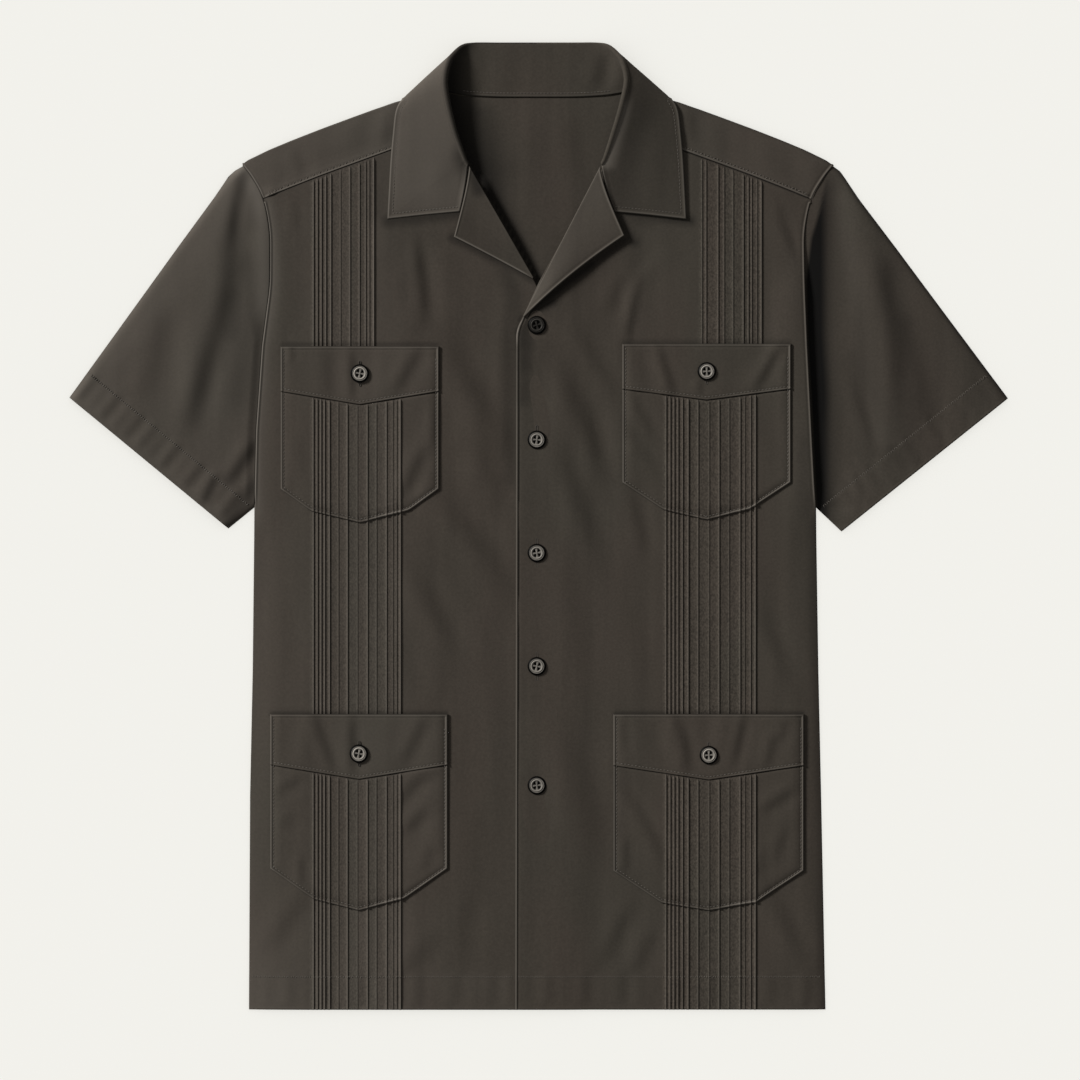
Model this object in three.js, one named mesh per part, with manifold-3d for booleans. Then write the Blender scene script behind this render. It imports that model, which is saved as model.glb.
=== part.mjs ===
// Camp shirt with tucked fronts, laid flat on its back on a surface.
// Millimetres. +X points to the wearer's left side, +Y to the collar, +Z up from the surface.
// "left" and "right" in the names are the wearer's. The left front laps over the right front.
import * as THREE from "three";
import { mergeVertices } from "three/addons/utils/BufferGeometryUtils.js";
import Module from "manifold-3d";

// ---------------------------------------------------------------- driving sizes
const CLOTH = 1.0; // wall of one layer of cloth
const SEAM = 0.35; // space between pieces that are sewn edge to edge
const CENTRE_X = -1.8; // centre front, through the buttons
const HEM_Y = -403.0;
const BACK_Z = 0.5; // middle of the back's wall, flat on the surface
const FRONT_Z = 1.9; // middle of a front's wall where it meets the side seam
const PUFF = 1.25; // how far the fronts stand higher inside the side seams
const PUFF_RUN = 26; // width over which they rise
const LAP_LIFT = 1.4; // the left front stands this much higher over the right one
const LAP_RUN = 33; // width over which the lap rises
const LAP_EDGE = 52; // and its outer end, from the centre line
const UNDERLAY = 1.75; // the back stands this much higher over the collar's folded part
const NECK_HALF = 84.6; // centre line to the side neck edge
const BUTTON_R = 7.7;
const BUTTON_T = 2.2;
const BUTTON_RIM = 0.35; // a button's seat stands this high over the cloth
const HOLE_R = 0.85; // sewing holes of a button
const HOLE_AT = 1.6; // and their distance from its middle, along x and y
const TUCK_H = 0.8;
const TUCK_STEP = 0.75; // width of the drop on the right of each tuck's crest
const TUCK_SHIFT_Y = [20, 130]; // heights between which the tucks move together
const TUCK_FADE_Y = [40, 100]; // heights between which the inner tucks run out
const BAND_EXTRA = 0.5; // a pocket's band is folded, so this much thicker than one layer
const COLLAR_WALL = 1.1;
const FOLD_R = 1.6; // depth of the fold at the shoulder's crest

const CLOTH_COLOUR = 0x46413b;
const BUTTON_COLOUR = 0x5b5752;

// ---------------------------------------------------------------- outline tables
// Side seam and armhole: x of each side at a height y.
const SIDE = [
  { y: -403, right: -241.8, left: 238.8 },
  { y: -225, right: -240.9, left: 235.2 },
  { y: -120, right: -238.7, left: 232.9 },
  { y: 16, right: -237.2, left: 230.8 },
  { y: 80, right: -235.0, left: 227.9 },
  { y: 150, right: -229.8, left: 224.2 },
  { y: 200, right: -224.3, left: 221.4 },
  { y: 245, right: -224.2, left: 220.9 },
  { y: 272, right: -229.0, left: 226.0 },
  { y: 288, right: -237.0, left: 235.0 },
  { y: 301, right: -247.2, left: 245.6 },
];
// Shoulder: crest and front seam, by distance from the centre line.
const SHOULDER = [
  { x: 84.6, crest: 361.4, seam: 327.0 },
  { x: 117, crest: 353.4, seam: 314.6 },
  { x: 136, crest: 347.0, seam: 307.7 },
  { x: 159, crest: 338.6, seam: 299.3 },
  { x: 181, crest: 330.4, seam: 291.2 },
  { x: 203, crest: 321.8, seam: 282.5 },
  { x: 223, crest: 313.5, seam: 274.5 },
  { x: 240, crest: 305.3, seam: 267.7 },
  { x: 248, crest: 300.2, seam: 264.5 },
];
// Front edge of a front, by distance past the centre line towards the other side.
const FRONT_EDGE = [
  { y: -403, past: 18.2 },
  { y: 160, past: 17.4 },
  { y: 171, past: 13.4 },
  { y: 203, past: -1.5 },
  { y: 299.9, past: -57.4 },
  { y: 312, past: -71.4 },
  { y: 320, past: -79.0 },
  { y: 327, past: -84.6 },
];
// Tucks of one front: place of the crest below and above the chest pocket, height in each.
// The wearer's right front.
const TUCKS_RIGHT = [
  { low: -187.6, high: -187.6, lowH: 1, highH: 1 },
  { low: -184.3, high: -184.3, lowH: 1, highH: 1 },
  { low: -181.2, high: -181.0, lowH: 1, highH: 1 },
  { low: -178.2, high: -177.3, lowH: 1, highH: 1 },
  { low: -174.2, high: -173.1, lowH: 0.7, highH: 0.7 },
  { low: -166.8, high: -165.0, lowH: 0.6, highH: 0.6 },
  { low: -159.3, high: -157.2, lowH: 1, highH: 1 },
  { low: -150.9, high: -153.5, lowH: 0.6, highH: 0 },
  { low: -142.6, high: -149.3, lowH: 1, highH: 1 },
  { low: -135.1, high: -148.0, lowH: 0.8, highH: 0 },
  { low: -126.8, high: -146.8, lowH: 1, highH: 0.8 },
  { low: -121.5, high: -144.2, lowH: 0.6, highH: 0.8 },
  { low: -118.4, high: -141.2, lowH: 0.8, highH: 0.8 },
  { low: -115.2, high: -137.4, lowH: 1.25, highH: 1.25 },
];
// The wearer's left front.
const TUCKS_LEFT = [
  { low: 105.9, high: 135.9, lowH: 1, highH: 0.7 },
  { low: 109.3, high: 139.3, lowH: 1, highH: 0.9 },
  { low: 112.6, high: 144.0, lowH: 1, highH: 0 },
  { low: 115.9, high: 149.3, lowH: 1, highH: 1 },
  { low: 119.7, high: 151.6, lowH: 1, highH: 0 },
  { low: 124.4, high: 154.3, lowH: 1, highH: 0.8 },
  { low: 132.6, high: 161.8, lowH: 1, highH: 0.8 },
  { low: 141.8, high: 166.0, lowH: 0.7, highH: 0 },
  { low: 150.1, high: 170.4, lowH: 1, highH: 1 },
  { low: 158.5, high: 172.4, lowH: 0.8, highH: 0 },
  { low: 167.6, high: 174.5, lowH: 1, highH: 0.9 },
  { low: 171.6, high: 177.3, lowH: 0.6, highH: 0.7 },
  { low: 176.4, high: 181.8, lowH: 0.9, highH: 0.9 },
  { low: 180.3, high: 185.3, lowH: 1.25, highH: 1.25 },
];
// Patch pockets: sides, top, bottom corners and point, and the lower line of the band.
const POCKETS = [
  { name: "chest_right", x0: -215.2, x1: -82.9, top: 149.6, corner: 30.5, cut: 25, cutY: 12.5, point: 2.6,
    bandSide: 112.0, bandMid: 101.0, button: 126.8 },
  { name: "chest_left", x0: 69.2, x1: 210.0, top: 151.8, corner: 36.0, cut: 34, cutY: 13.6, point: 5.0,
    bandSide: 114.0, bandMid: 104.8, button: 128.6 },
  { name: "hip_right", x0: -224.0, x1: -74.4, top: -156.5, corner: -285.5, cut: 36, cutY: -310.6, point: -320.2,
    bandSide: -198.8, bandMid: -210.8, button: -189.4 },
  { name: "hip_left", x0: 61.7, x1: 221.0, top: -156.5, corner: -287.4, cut: 40, cutY: -313.8, point: -320.4,
    bandSide: -199.4, bandMid: -211.4, button: -190.7 },
];
const FRONT_BUTTONS = [167.2, 71.7, -22.5, -116.8, -216.0];
// Lapels: tip, ends of the roll line, and how far the lower edge bows, by distance from the centre.
const LAPELS = [
  { name: "lapel_right", side: -1, startX: 1.6, startY: 204.6, rollX: 56.4, rollY: 299.5,
    tipX: 69.2, tipY: 240.4, bow: 0.5 },
  { name: "lapel_left", side: 1, startX: -13.2, startY: 171.2, rollX: 52.8, rollY: 299.5,
    tipX: 72.0, tipY: 242.4, bow: 5.5 },
];
// Collar, from the centre back round to the gorge seam. n: neck seam, r: crest of the roll,
// e: free edge, with the crest's own direction (u), the way the fall turns (v) and its radius.
const COLLAR = [
  { nx: 0, ny: 357.4, nz: 2.1, rx: 0, ry: 402.4, rz: 2.0, ex: 0, ey: 346, ez: 0.6,
    ux: 0, uy: 1, uz: 0, vx: 0, vy: 0, vz: -1, rad: 1.35, drop: 1, bulge: 0 },
  { nx: 32, ny: 357.6, nz: 2.1, rx: 30, ry: 402.4, rz: 2.0, ex: 40, ey: 346, ez: 0.6,
    ux: 0, uy: 1, uz: 0, vx: 0, vy: 0, vz: -1, rad: 1.35, drop: 1, bulge: 0 },
  { nx: 55, ny: 358.8, nz: 2.1, rx: 51, ry: 402.3, rz: 2.6, ex: 75, ey: 346, ez: 0.6,
    ux: 0.05, uy: 0.99, uz: 0.1, vx: 0, vy: 0.1, vz: -1, rad: 1.5, drop: 1, bulge: 0 },
  { nx: 70, ny: 360.8, nz: 2.2, rx: 60.4, ry: 400.2, rz: 6.0, ex: 97, ey: 346.4, ez: 0.6,
    ux: 0.2, uy: 0.8, uz: 0.6, vx: 0.35, vy: 0.5, vz: -0.8, rad: 1.9, drop: 3, bulge: 0.6 },
  { nx: 80.5, ny: 363.4, nz: 3.0, rx: 67.0, ry: 394.2, rz: 10.5, ex: 110.2, ey: 354.7, ez: 0.9,
    ux: 0.05, uy: 0.5, uz: 0.87, vx: 0.75, vy: 0.55, vz: -0.4, rad: 2.3, drop: 2, bulge: 0.6 },
  { nx: 83.0, ny: 358.4, nz: 4.2, rx: 72.2, ry: 385.6, rz: 14.0, ex: 113.4, ey: 355.8, ez: 4.9,
    ux: -0.1, uy: 0.2, uz: 0.97, vx: 0.95, vy: 0.3, vz: 0, rad: 2.6, drop: 1.6, bulge: 0.5 },
  { nx: 83.2, ny: 350, nz: 4.3, rx: 75.2, ry: 370, rz: 15.6, ex: 117.6, ey: 345, ez: 7.0,
    ux: -0.15, uy: 0, uz: 0.99, vx: 0.99, vy: 0.05, vz: 0.1, rad: 2.8, drop: 3, bulge: 0 },
  { nx: 83.2, ny: 338, nz: 4.2, rx: 72.2, ry: 351, rz: 14.8, ex: 120.0, ey: 326, ez: 6.3,
    ux: -0.15, uy: 0, uz: 0.99, vx: 0.99, vy: 0, vz: 0.1, rad: 2.8, drop: 3, bulge: 0 },
  { nx: 79.5, ny: 323, nz: 3.6, rx: 66.6, ry: 330, rz: 12.4, ex: 122.0, ey: 303, ez: 5.6,
    ux: -0.15, uy: 0.05, uz: 0.98, vx: 0.98, vy: -0.1, vz: 0.1, rad: 2.5, drop: 3, bulge: 0 },
  { nx: 69.5, ny: 311.6, nz: 3.2, rx: 61.6, ry: 315, rz: 10.2, ex: 123.4, ey: 278, ez: 5.2,
    ux: -0.15, uy: 0.05, uz: 0.98, vx: 0.95, vy: -0.3, vz: 0.1, rad: 2.1, drop: 2.6, bulge: 0 },
  { nx: 61.4, ny: 303.6, nz: 3.1, rx: 58.0, ry: 305, rz: 8.4, ex: 124.6, ey: 255.4, ez: 4.9,
    ux: -0.1, uy: 0.05, uz: 0.98, vx: 0.8, vy: -0.6, vz: 0.1, rad: 1.7, drop: 2.4, bulge: 0 },
  { nx: 58.8, ny: 301.4, nz: 3.1, rx: 56.5, ry: 302.4, rz: 7.8, ex: 94, ey: 259.4, ez: 4.9,
    ux: 0, uy: 0.05, uz: 0.98, vx: 0.6, vy: -0.8, vz: 0.1, rad: 1.5, drop: 2.2, bulge: 0 },
  { nx: 57.0, ny: 300.2, nz: 3.1, rx: 55.6, ry: 300.9, rz: 7.4, ex: 64.7, ey: 263.0, ez: 4.9,
    ux: 0, uy: 0.05, uz: 0.98, vx: 0.25, vy: -0.97, vz: 0.1, rad: 1.4, drop: 2.0, bulge: 0 },
];
// The neck opening leans towards the right sleeve by this much.
const LEAN = [
  { y: 203, x: 0 },
  { y: 300, x: -1.75 },
  { y: 327, x: -2.1 },
  { y: 356, x: -1.4 },
  { y: 372, x: -0.9 },
  { y: 403, x: -1.2 },
];
// Sleeves: cuff corners; the outer edge bows out near the shoulder.
const SLEEVES = [
  { name: "sleeve_right", side: -1, cuffX: -391.0, cuffY: 106.7, innerX: -258.9, innerY: -1.1,
    bow: [0, 4.6, 3.7, 3.2, 2.2, 0.6] },
  { name: "sleeve_left", side: 1, cuffX: 390.9, cuffY: 106.4, innerX: 252.1, innerY: -3.5,
    bow: [0, 2.0, 0.8, 0.9, 0.5, 0] },
];
const BOW_AT = [0, 0.06, 0.145, 0.36, 0.6, 1]; // places along the sleeve of the bow values

// ---------------------------------------------------------------- helpers
const clamp = (v, lo, hi) => Math.min(hi, Math.max(lo, v));
const mix = (a, b, t) => a + (b - a) * t;
function ease(t) {
  const s = clamp(t, 0, 1);
  return s * s * (3 - 2 * s);
}

// One column of a table at a place in its key column, straight between rows.
function read(table, key, column, at) {
  if (at <= table[0][key]) return table[0][column];
  for (let k = 1; k < table.length; k++) {
    const a = table[k - 1];
    const b = table[k];
    if (at <= b[key]) return mix(a[column], b[column], (at - a[key]) / (b[key] - a[key]));
  }
  return table[table.length - 1][column];
}

const fabric = () => new THREE.MeshStandardMaterial({ color: CLOTH_COLOUR, roughness: 0.92, metalness: 0 });
const shirt = new THREE.Group();
function add(name, geometry, material = fabric()) {
  geometry.computeVertexNormals();
  const mesh = new THREE.Mesh(geometry, material);
  mesh.name = name;
  shirt.add(mesh);
}

// A wall of cloth from the grid of its middle surface. The grid's normal (first direction
// crossed with the second) is the raised face; keep() says which cells are cloth.
function clothWall(grid, { wall = CLOTH, raise = () => 0, keep = () => true } = {}) {
  const ni = grid.length;
  const nj = grid[0].length;
  const has = (i, j) => i >= 0 && j >= 0 && i < ni - 1 && j < nj - 1 && keep(i, j);
  const normals = new Map();
  const key = (i, j) => i * nj + j;
  for (let i = 0; i < ni - 1; i++)
    for (let j = 0; j < nj - 1; j++) {
      if (!has(i, j)) continue;
      const p = [grid[i][j], grid[i + 1][j], grid[i + 1][j + 1], grid[i][j + 1]];
      const n = p[2].clone().sub(p[0]).cross(p[3].clone().sub(p[1])).normalize();
      for (const [a, b] of [[i, j], [i + 1, j], [i + 1, j + 1], [i, j + 1]]) {
        const k = key(a, b);
        if (!normals.has(k)) normals.set(k, new THREE.Vector3());
        normals.get(k).add(n);
      }
    }
  const position = [];
  const upper = new Map();
  const lower = new Map();
  for (const [k, n] of normals) {
    const i = Math.floor(k / nj);
    const j = k % nj;
    n.normalize();
    upper.set(k, position.length / 3);
    position.push(...grid[i][j].clone().addScaledVector(n, wall / 2 + raise(i, j)).toArray());
    lower.set(k, position.length / 3);
    position.push(...grid[i][j].clone().addScaledVector(n, -wall / 2).toArray());
  }
  const index = [];
  const side = (a, b) => {
    index.push(upper.get(a), lower.get(a), lower.get(b));
    index.push(upper.get(a), lower.get(b), upper.get(b));
  };
  for (let i = 0; i < ni - 1; i++)
    for (let j = 0; j < nj - 1; j++) {
      if (!has(i, j)) continue;
      const [a, b, c, d] = [key(i, j), key(i + 1, j), key(i + 1, j + 1), key(i, j + 1)];
      index.push(upper.get(a), upper.get(b), upper.get(c), upper.get(a), upper.get(c), upper.get(d));
      index.push(lower.get(a), lower.get(c), lower.get(b), lower.get(a), lower.get(d), lower.get(c));
      if (!has(i, j - 1)) side(a, b);
      if (!has(i + 1, j)) side(b, c);
      if (!has(i, j + 1)) side(c, d);
      if (!has(i - 1, j)) side(d, a);
    }
  const geometry = new THREE.BufferGeometry();
  geometry.setAttribute("position", new THREE.Float32BufferAttribute(position, 3));
  geometry.setIndex(index);
  return geometry;
}

const sideName = (side) => (side < 0 ? "right" : "left");
const edgeX = (side, y) => read(SIDE, "y", sideName(side), y);
const out = (x) => Math.abs(x - CENTRE_X); // distance from the centre line

// Middle of the back's wall: flat, raised over the folded part of the collar.
function backZ(x, y) {
  return BACK_Z + UNDERLAY * ease((y - 330) / 13) * ease((128 - out(x)) / 9);
}

// Middle of a front's wall: low at the side seam, full inside, higher on the lap.
function frontZ(side, x, y) {
  const inward = Math.abs(edgeX(side, y) - x);
  let z = FRONT_Z + PUFF * ease(inward / PUFF_RUN);
  z -= 0.5 * ease((HEM_Y + 30 - y) / 30) * ease(inward / PUFF_RUN);
  z += 0.5 * Math.exp(-(((out(x) - 78) / 13) ** 2) - ((y - 190) / 36) ** 2);
  z -= 0.4 * Math.exp(-(((out(x) - 97) / 9) ** 2) - ((y - 202) / 36) ** 2);
  if (side > 0) z += LAP_LIFT * ease((LAP_EDGE - (x - CENTRE_X)) / LAP_RUN);
  return z;
}

// ---------------------------------------------------------------- back, in one with the shoulders
function buildBack() {
  const across = [0, 0.35, 0.65, 0.85, 1];
  const outer = [0.2, 0.48, 0.8, 1];
  const rows = [HEM_Y, -372, -180, 16, 80, 150, 200, 245, 272];
  const columns = [];
  for (let k = outer.length - 1; k >= 0; k--) columns.push({ side: -1, t: outer[k], neck: 1 });
  for (let k = across.length - 1; k > 0; k--) columns.push({ side: -1, t: 0, neck: across[k] });
  for (let k = 0; k < across.length; k++) columns.push({ side: 1, t: 0, neck: across[k] });
  for (const t of outer) columns.push({ side: 1, t, neck: 1 });
  // A column's place at height y: across the neck, then on to the side seam.
  const placeX = ({ side, t, neck }, y) =>
    mix(CENTRE_X + side * NECK_HALF * neck, edgeX(side, y), t);
  const neckY = (x) => 356.5 + 0.9 * ease((out(x) - 30) / 30) + 4.4 * ease((out(x) - 55) / 30);
  const grid = columns.map((c) => {
    const line = rows.map((y) => new THREE.Vector3(placeX(c, y), y, backZ(placeX(c, y), y)));
    const topX = placeX(c, 300.6);
    const crest = c.t > 0 || c.neck === 1 ? read(SHOULDER, "x", "crest", out(topX)) - 0.5 : neckY(topX);
    const last = c.t > 0 || c.neck === 1 ? crest - FOLD_R : crest;
    // Rows between the last common one and the crest follow the column.
    for (const f of [0.3, 0.6, 0.8, 0.9, 1]) {
      const y = mix(272, last, f);
      const x = placeX(c, Math.min(y, 300.6));
      line.push(new THREE.Vector3(x, y, backZ(x, y)));
    }
    if (c.t > 0 || c.neck === 1) {
      const low = line[line.length - 1].z;
      const near = ease((134 - out(topX)) / 14);
      const high = FRONT_Z + PUFF * ease((1 - c.t) * 6) + 1.1 * near;
      const half = (high - low) / 2;
      line.push(new THREE.Vector3(topX, crest - 0.35 * FOLD_R, low + 0.3 * half));
      line.push(new THREE.Vector3(topX, crest, low + half));
      line.push(new THREE.Vector3(topX, crest - 0.35 * FOLD_R, high - 0.3 * half));
      const seam = read(SHOULDER, "x", "seam", out(topX));
      for (const f of [0.06, 0.35, 0.68, 1]) {
        const guess = mix(crest, seam, f);
        const x = c.t > 0.99 ? edgeX(c.side, guess) : mix(topX, placeX(c, guess), f);
        const y = mix(crest, read(SHOULDER, "x", "seam", out(x)), f);
        line.push(new THREE.Vector3(x, y, mix(high, high - 1.1 * near, ease((f - 0.35) / 0.6))));
      }
    } else {
      for (let k = 0; k < 7; k++) line.push(line[line.length - 1].clone());
    }
    return line;
  });
  const turn = rows.length + 4;
  const onShoulder = (i) => columns[i].t > 0 || columns[i].neck === 1;
  const keep = (i, j) => j < turn || (onShoulder(i) && onShoulder(i + 1));
  add("back", clothWall(grid, { keep }));
}

// ---------------------------------------------------------------- fronts
function tuckTable(side) {
  return side < 0 ? TUCKS_RIGHT : TUCKS_LEFT;
}

// Columns over the tucks: a low place just before each crest, so each tuck is a small step.
function tuckColumns(side, y) {
  const up = ease((y - TUCK_SHIFT_Y[0]) / (TUCK_SHIFT_Y[1] - TUCK_SHIFT_Y[0]));
  const fade = ease((y - TUCK_FADE_Y[0]) / (TUCK_FADE_Y[1] - TUCK_FADE_Y[0]));
  const cols = [];
  for (const t of tuckTable(side)) {
    const x = mix(t.low, t.high, up);
    cols.push({ x, h: TUCK_H * mix(t.lowH, t.highH, fade) });
    cols.push({ x: x + TUCK_STEP, h: 0 });
  }
  return cols;
}

function frontColumns(side, y) {
  const tucks = tuckColumns(side, y);
  const first = tucks[0].x - 3;
  const last = tucks[tucks.length - 1].x;
  const sideEdge = edgeX(side, y);
  const lean = read(LEAN, "y", "x", y) * ease((316 - y) / 12);
  const frontEdge = CENTRE_X - side * read(FRONT_EDGE, "y", "past", y) + lean;
  const cols = [];
  if (side < 0) {
    for (const t of [0, 0.07, 0.3, 0.62]) cols.push({ x: mix(sideEdge, first, t), h: 0 });
    cols.push({ x: first, h: 0 }, ...tucks);
    for (const t of [0.25, 0.5, 0.72, 0.87, 1]) cols.push({ x: mix(last, frontEdge, t), h: 0 });
  } else {
    for (const t of [0, 0.13, 0.28, 0.46, 0.72]) cols.push({ x: mix(frontEdge, first, t), h: 0 });
    cols.push({ x: first, h: 0 }, ...tucks);
    for (const t of [0.38, 0.7, 0.93, 1]) cols.push({ x: mix(last, sideEdge, t), h: 0 });
  }
  return cols;
}

function buildFront(side) {
  const rows = [HEM_Y, -374, -60, 16, 80, 130, 150, 171, 200, 245, 262];
  const lift = [0.4, 0.75, 1];
  const count = frontColumns(side, 0).length;
  const grid = [];
  const heights = [];
  for (let i = 0; i < count; i++) {
    const line = [];
    const raised = [];
    for (const y of rows) {
      const c = frontColumns(side, y)[i];
      line.push(new THREE.Vector3(c.x, y, frontZ(side, c.x, y)));
      raised.push(c.h);
    }
    // The last rows close up to the slanting shoulder seam.
    let topX = frontColumns(side, 300)[i].x;
    for (let pass = 0; pass < 6; pass++) {
      const y = read(SHOULDER, "x", "seam", out(topX)) - SEAM;
      topX = frontColumns(side, y)[i].x;
    }
    const topY = read(SHOULDER, "x", "seam", out(topX)) - SEAM;
    for (const f of lift) {
      const y = mix(262, topY, f);
      const c = frontColumns(side, y)[i];
      line.push(new THREE.Vector3(c.x, y, frontZ(side, c.x, y)));
      raised.push(c.h);
    }
    grid.push(line);
    heights.push(raised);
  }
  add("front_" + sideName(side), clothWall(grid, { raise: (i, j) => heights[i][j] }));
}

// ---------------------------------------------------------------- pockets
// Height of the top of a front under a pocket, tucks included.
const overFront = (side, x, y) => frontZ(side, x, y) + CLOTH / 2 + TUCK_H * 1.25;

function pocketColumns(p, side) {
  const tucks = tuckColumns(side, HEM_Y);
  const inside = tucks.filter((c) => c.x > p.x0 + 6 && c.x < p.x1 - 6);
  const first = inside[0].x - 3;
  const last = inside[inside.length - 1].x;
  return [
    { x: p.x0, h: 0 },
    { x: mix(p.x0, first, 0.5), h: 0 },
    { x: first, h: 0 },
    ...inside,
    { x: mix(last, p.x1, 0.5), h: 0 },
    { x: p.x1, h: 0 },
  ];
}

// Lower edge of a pocket: level sides, a cut corner, then a soft point.
function pocketBottom(p, x) {
  const middle = (p.x0 + p.x1) / 2;
  const half = (p.x1 - p.x0) / 2;
  const d = half - Math.abs(x - middle);
  if (d < p.cut) return mix(p.corner, p.cutY, d / p.cut);
  return mix(p.cutY, p.point, (d - p.cut) / (half - p.cut));
}

// Lower line of a pocket's band: a shallow point at the middle.
function bandLine(p, x) {
  const middle = (p.x0 + p.x1) / 2;
  const half = (p.x1 - p.x0) / 2;
  return mix(p.bandMid, p.bandSide, Math.abs(x - middle) / half);
}

function buildPocket(p) {
  const side = p.x0 < 0 ? -1 : 1;
  const cols = pocketColumns(p, side);
  const base = (x, y) => overFront(side, x, y) + SEAM + CLOTH / 2;
  const grid = cols.map((c) =>
    [0, 0.5, 1].map((t) => {
      const y = mix(pocketBottom(p, c.x), bandLine(p, c.x) - SEAM - 0.5, t);
      return new THREE.Vector3(c.x, y, base(c.x, y));
    })
  );
  const fade = [0.6, 1, 1];
  add("pocket_" + p.name, clothWall(grid, { raise: (i, j) => cols[i].h * fade[j] }));

  const wide = [0, 0.12, 0.3, 0.5, 0.7, 0.88, 1];
  const band = wide.map((s) => {
    const x = mix(p.x0, p.x1, s);
    return [0, 0.5, 1].map((t) => {
      const y = mix(bandLine(p, x), p.top, t);
      return new THREE.Vector3(x, y, base(x, y) + BAND_EXTRA / 2);
    });
  });
  add("band_" + p.name, clothWall(band, { wall: CLOTH + BAND_EXTRA }));
  const middle = (p.x0 + p.x1) / 2;
  const bandTop = base(middle, p.button) + CLOTH / 2 + BAND_EXTRA;
  addButton("button_" + p.name, middle, p.button, bandTop + BUTTON_RIM);
}

// ---------------------------------------------------------------- buttons
const wasm = await Module();
wasm.setup();

function toSolid(geometry) {
  const bare = geometry.clone();
  bare.deleteAttribute("normal");
  bare.deleteAttribute("uv");
  const merged = mergeVertices(bare, 1e-4);
  return new wasm.Manifold(
    new wasm.Mesh({
      numProp: 3,
      vertProperties: merged.attributes.position.array,
      triVerts: new Uint32Array(merged.index.array),
    })
  );
}

function fromSolid(solid) {
  const m = solid.getMesh();
  const geometry = new THREE.BufferGeometry();
  geometry.setAttribute("position", new THREE.BufferAttribute(m.vertProperties.slice(), 3));
  geometry.setIndex(new THREE.BufferAttribute(m.triVerts.slice(), 1));
  return geometry;
}

// A four-hole button: a rim round a sunk middle, turned about its axis, holes cut through.
function buttonGeometry() {
  const profile = [
    [0, 0],
    [BUTTON_R * 0.86, 0],
    [BUTTON_R, BUTTON_T * 0.4],
    [BUTTON_R * 0.95, BUTTON_T * 0.88],
    [BUTTON_R * 0.8, BUTTON_T],
    [BUTTON_R * 0.6, BUTTON_T * 0.72],
    [0, BUTTON_T * 0.66],
  ].map(([r, z]) => new THREE.Vector2(r, z));
  const turned = new THREE.LatheGeometry(profile, 16).rotateX(Math.PI / 2);
  let solid = toSolid(turned);
  for (const [sx, sy] of [[-1, -1], [1, -1], [1, 1], [-1, 1]]) {
    const drill = new THREE.CylinderGeometry(HOLE_R, HOLE_R, 4 * BUTTON_T, 5).rotateX(Math.PI / 2);
    drill.translate(sx * HOLE_AT, sy * HOLE_AT, BUTTON_T / 2);
    solid = solid.subtract(toSolid(drill));
  }
  return fromSolid(solid);
}
const BUTTON = buttonGeometry();

function addButton(name, x, y, z) {
  const material = new THREE.MeshStandardMaterial({ color: BUTTON_COLOUR, roughness: 0.45, metalness: 0 });
  const mesh = new THREE.Mesh(BUTTON.clone(), material);
  mesh.geometry.computeVertexNormals();
  mesh.name = name;
  mesh.position.set(x, y, z);
  shirt.add(mesh);
}

// ---------------------------------------------------------------- lapels
// Turned-back facing: a fan from the foot of the roll line out to the tip.
function buildLapel(l) {
  const grid = [];
  for (const w of [0, 0.12, 0.35, 0.65, 1]) {
    const line = [];
    for (const u of [0.05, 0.2, 0.4, 0.6, 0.8, 1]) {
      const roll = [mix(l.startX, l.rollX, u), mix(l.startY, l.rollY, u)];
      const low = [mix(l.startX, l.tipX, u), mix(l.startY, l.tipY, u)];
      const bow = l.bow * 4 * u * (1 - u) * w;
      const d = mix(roll[0], low[0], w) - bow * 0.5;
      const x = CENTRE_X + l.side * d;
      const y = mix(roll[1], low[1], w) + bow * 0.85;
      const rise = 2.9 * ease(u * 2.2) * (1 - ease(w * 1.6)) + 0.2 * ease(u * 2);
      line.push(new THREE.Vector3(x, y, frontZ(l.side, x, y) + CLOTH + SEAM + rise));
    }
    grid.push(line);
  }
  const ordered = l.side < 0 ? grid.reverse() : grid;
  add(l.name, clothWall(ordered));
}

// ---------------------------------------------------------------- collar
// Middle line of the collar at one station: stand up from the neck seam, roll, then fall.
function collarSection(s, sign) {
  const lean = sign * read(LEAN, "y", "x", s.ry);
  const N = new THREE.Vector3(s.nx + lean * ease((316 - s.ny) / 12), s.ny, s.nz);
  const R = new THREE.Vector3(s.rx + lean, s.ry, s.rz);
  const E = new THREE.Vector3(s.ex, s.ey, s.ez);
  const u = new THREE.Vector3(s.ux, s.uy, s.uz).normalize();
  const v = new THREE.Vector3(s.vx, s.vy, s.vz);
  v.addScaledVector(u, -v.dot(u)).normalize();
  const points = [];
  const roll = (angle) =>
    R.clone().addScaledVector(u, s.rad * (Math.cos(angle) - 1)).addScaledVector(v, s.rad * Math.sin(angle));
  const start = roll(-Math.PI / 2);
  const end = roll(Math.PI / 2);
  points.push(N, N.clone().lerp(start, 0.5));
  for (const a of [-90, -45, 0, 45, 90]) points.push(roll((a * Math.PI) / 180));
  // The fall runs to its edge, bulging a little in plan, and settles on what lies below it.
  const away = new THREE.Vector3(end.y - E.y, E.x - end.x, 0).normalize();
  for (const t of [0.12, 0.32, 0.62, 1]) {
    const p = end.clone().lerp(E, t);
    p.addScaledVector(away, s.bulge * Math.sin(Math.PI * t));
    p.z = mix(s.ez, end.z, (1 - t) ** s.drop);
    points.push(p);
  }
  return points.map((p) => new THREE.Vector3(CENTRE_X + sign * p.x, p.y, p.z));
}

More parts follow.
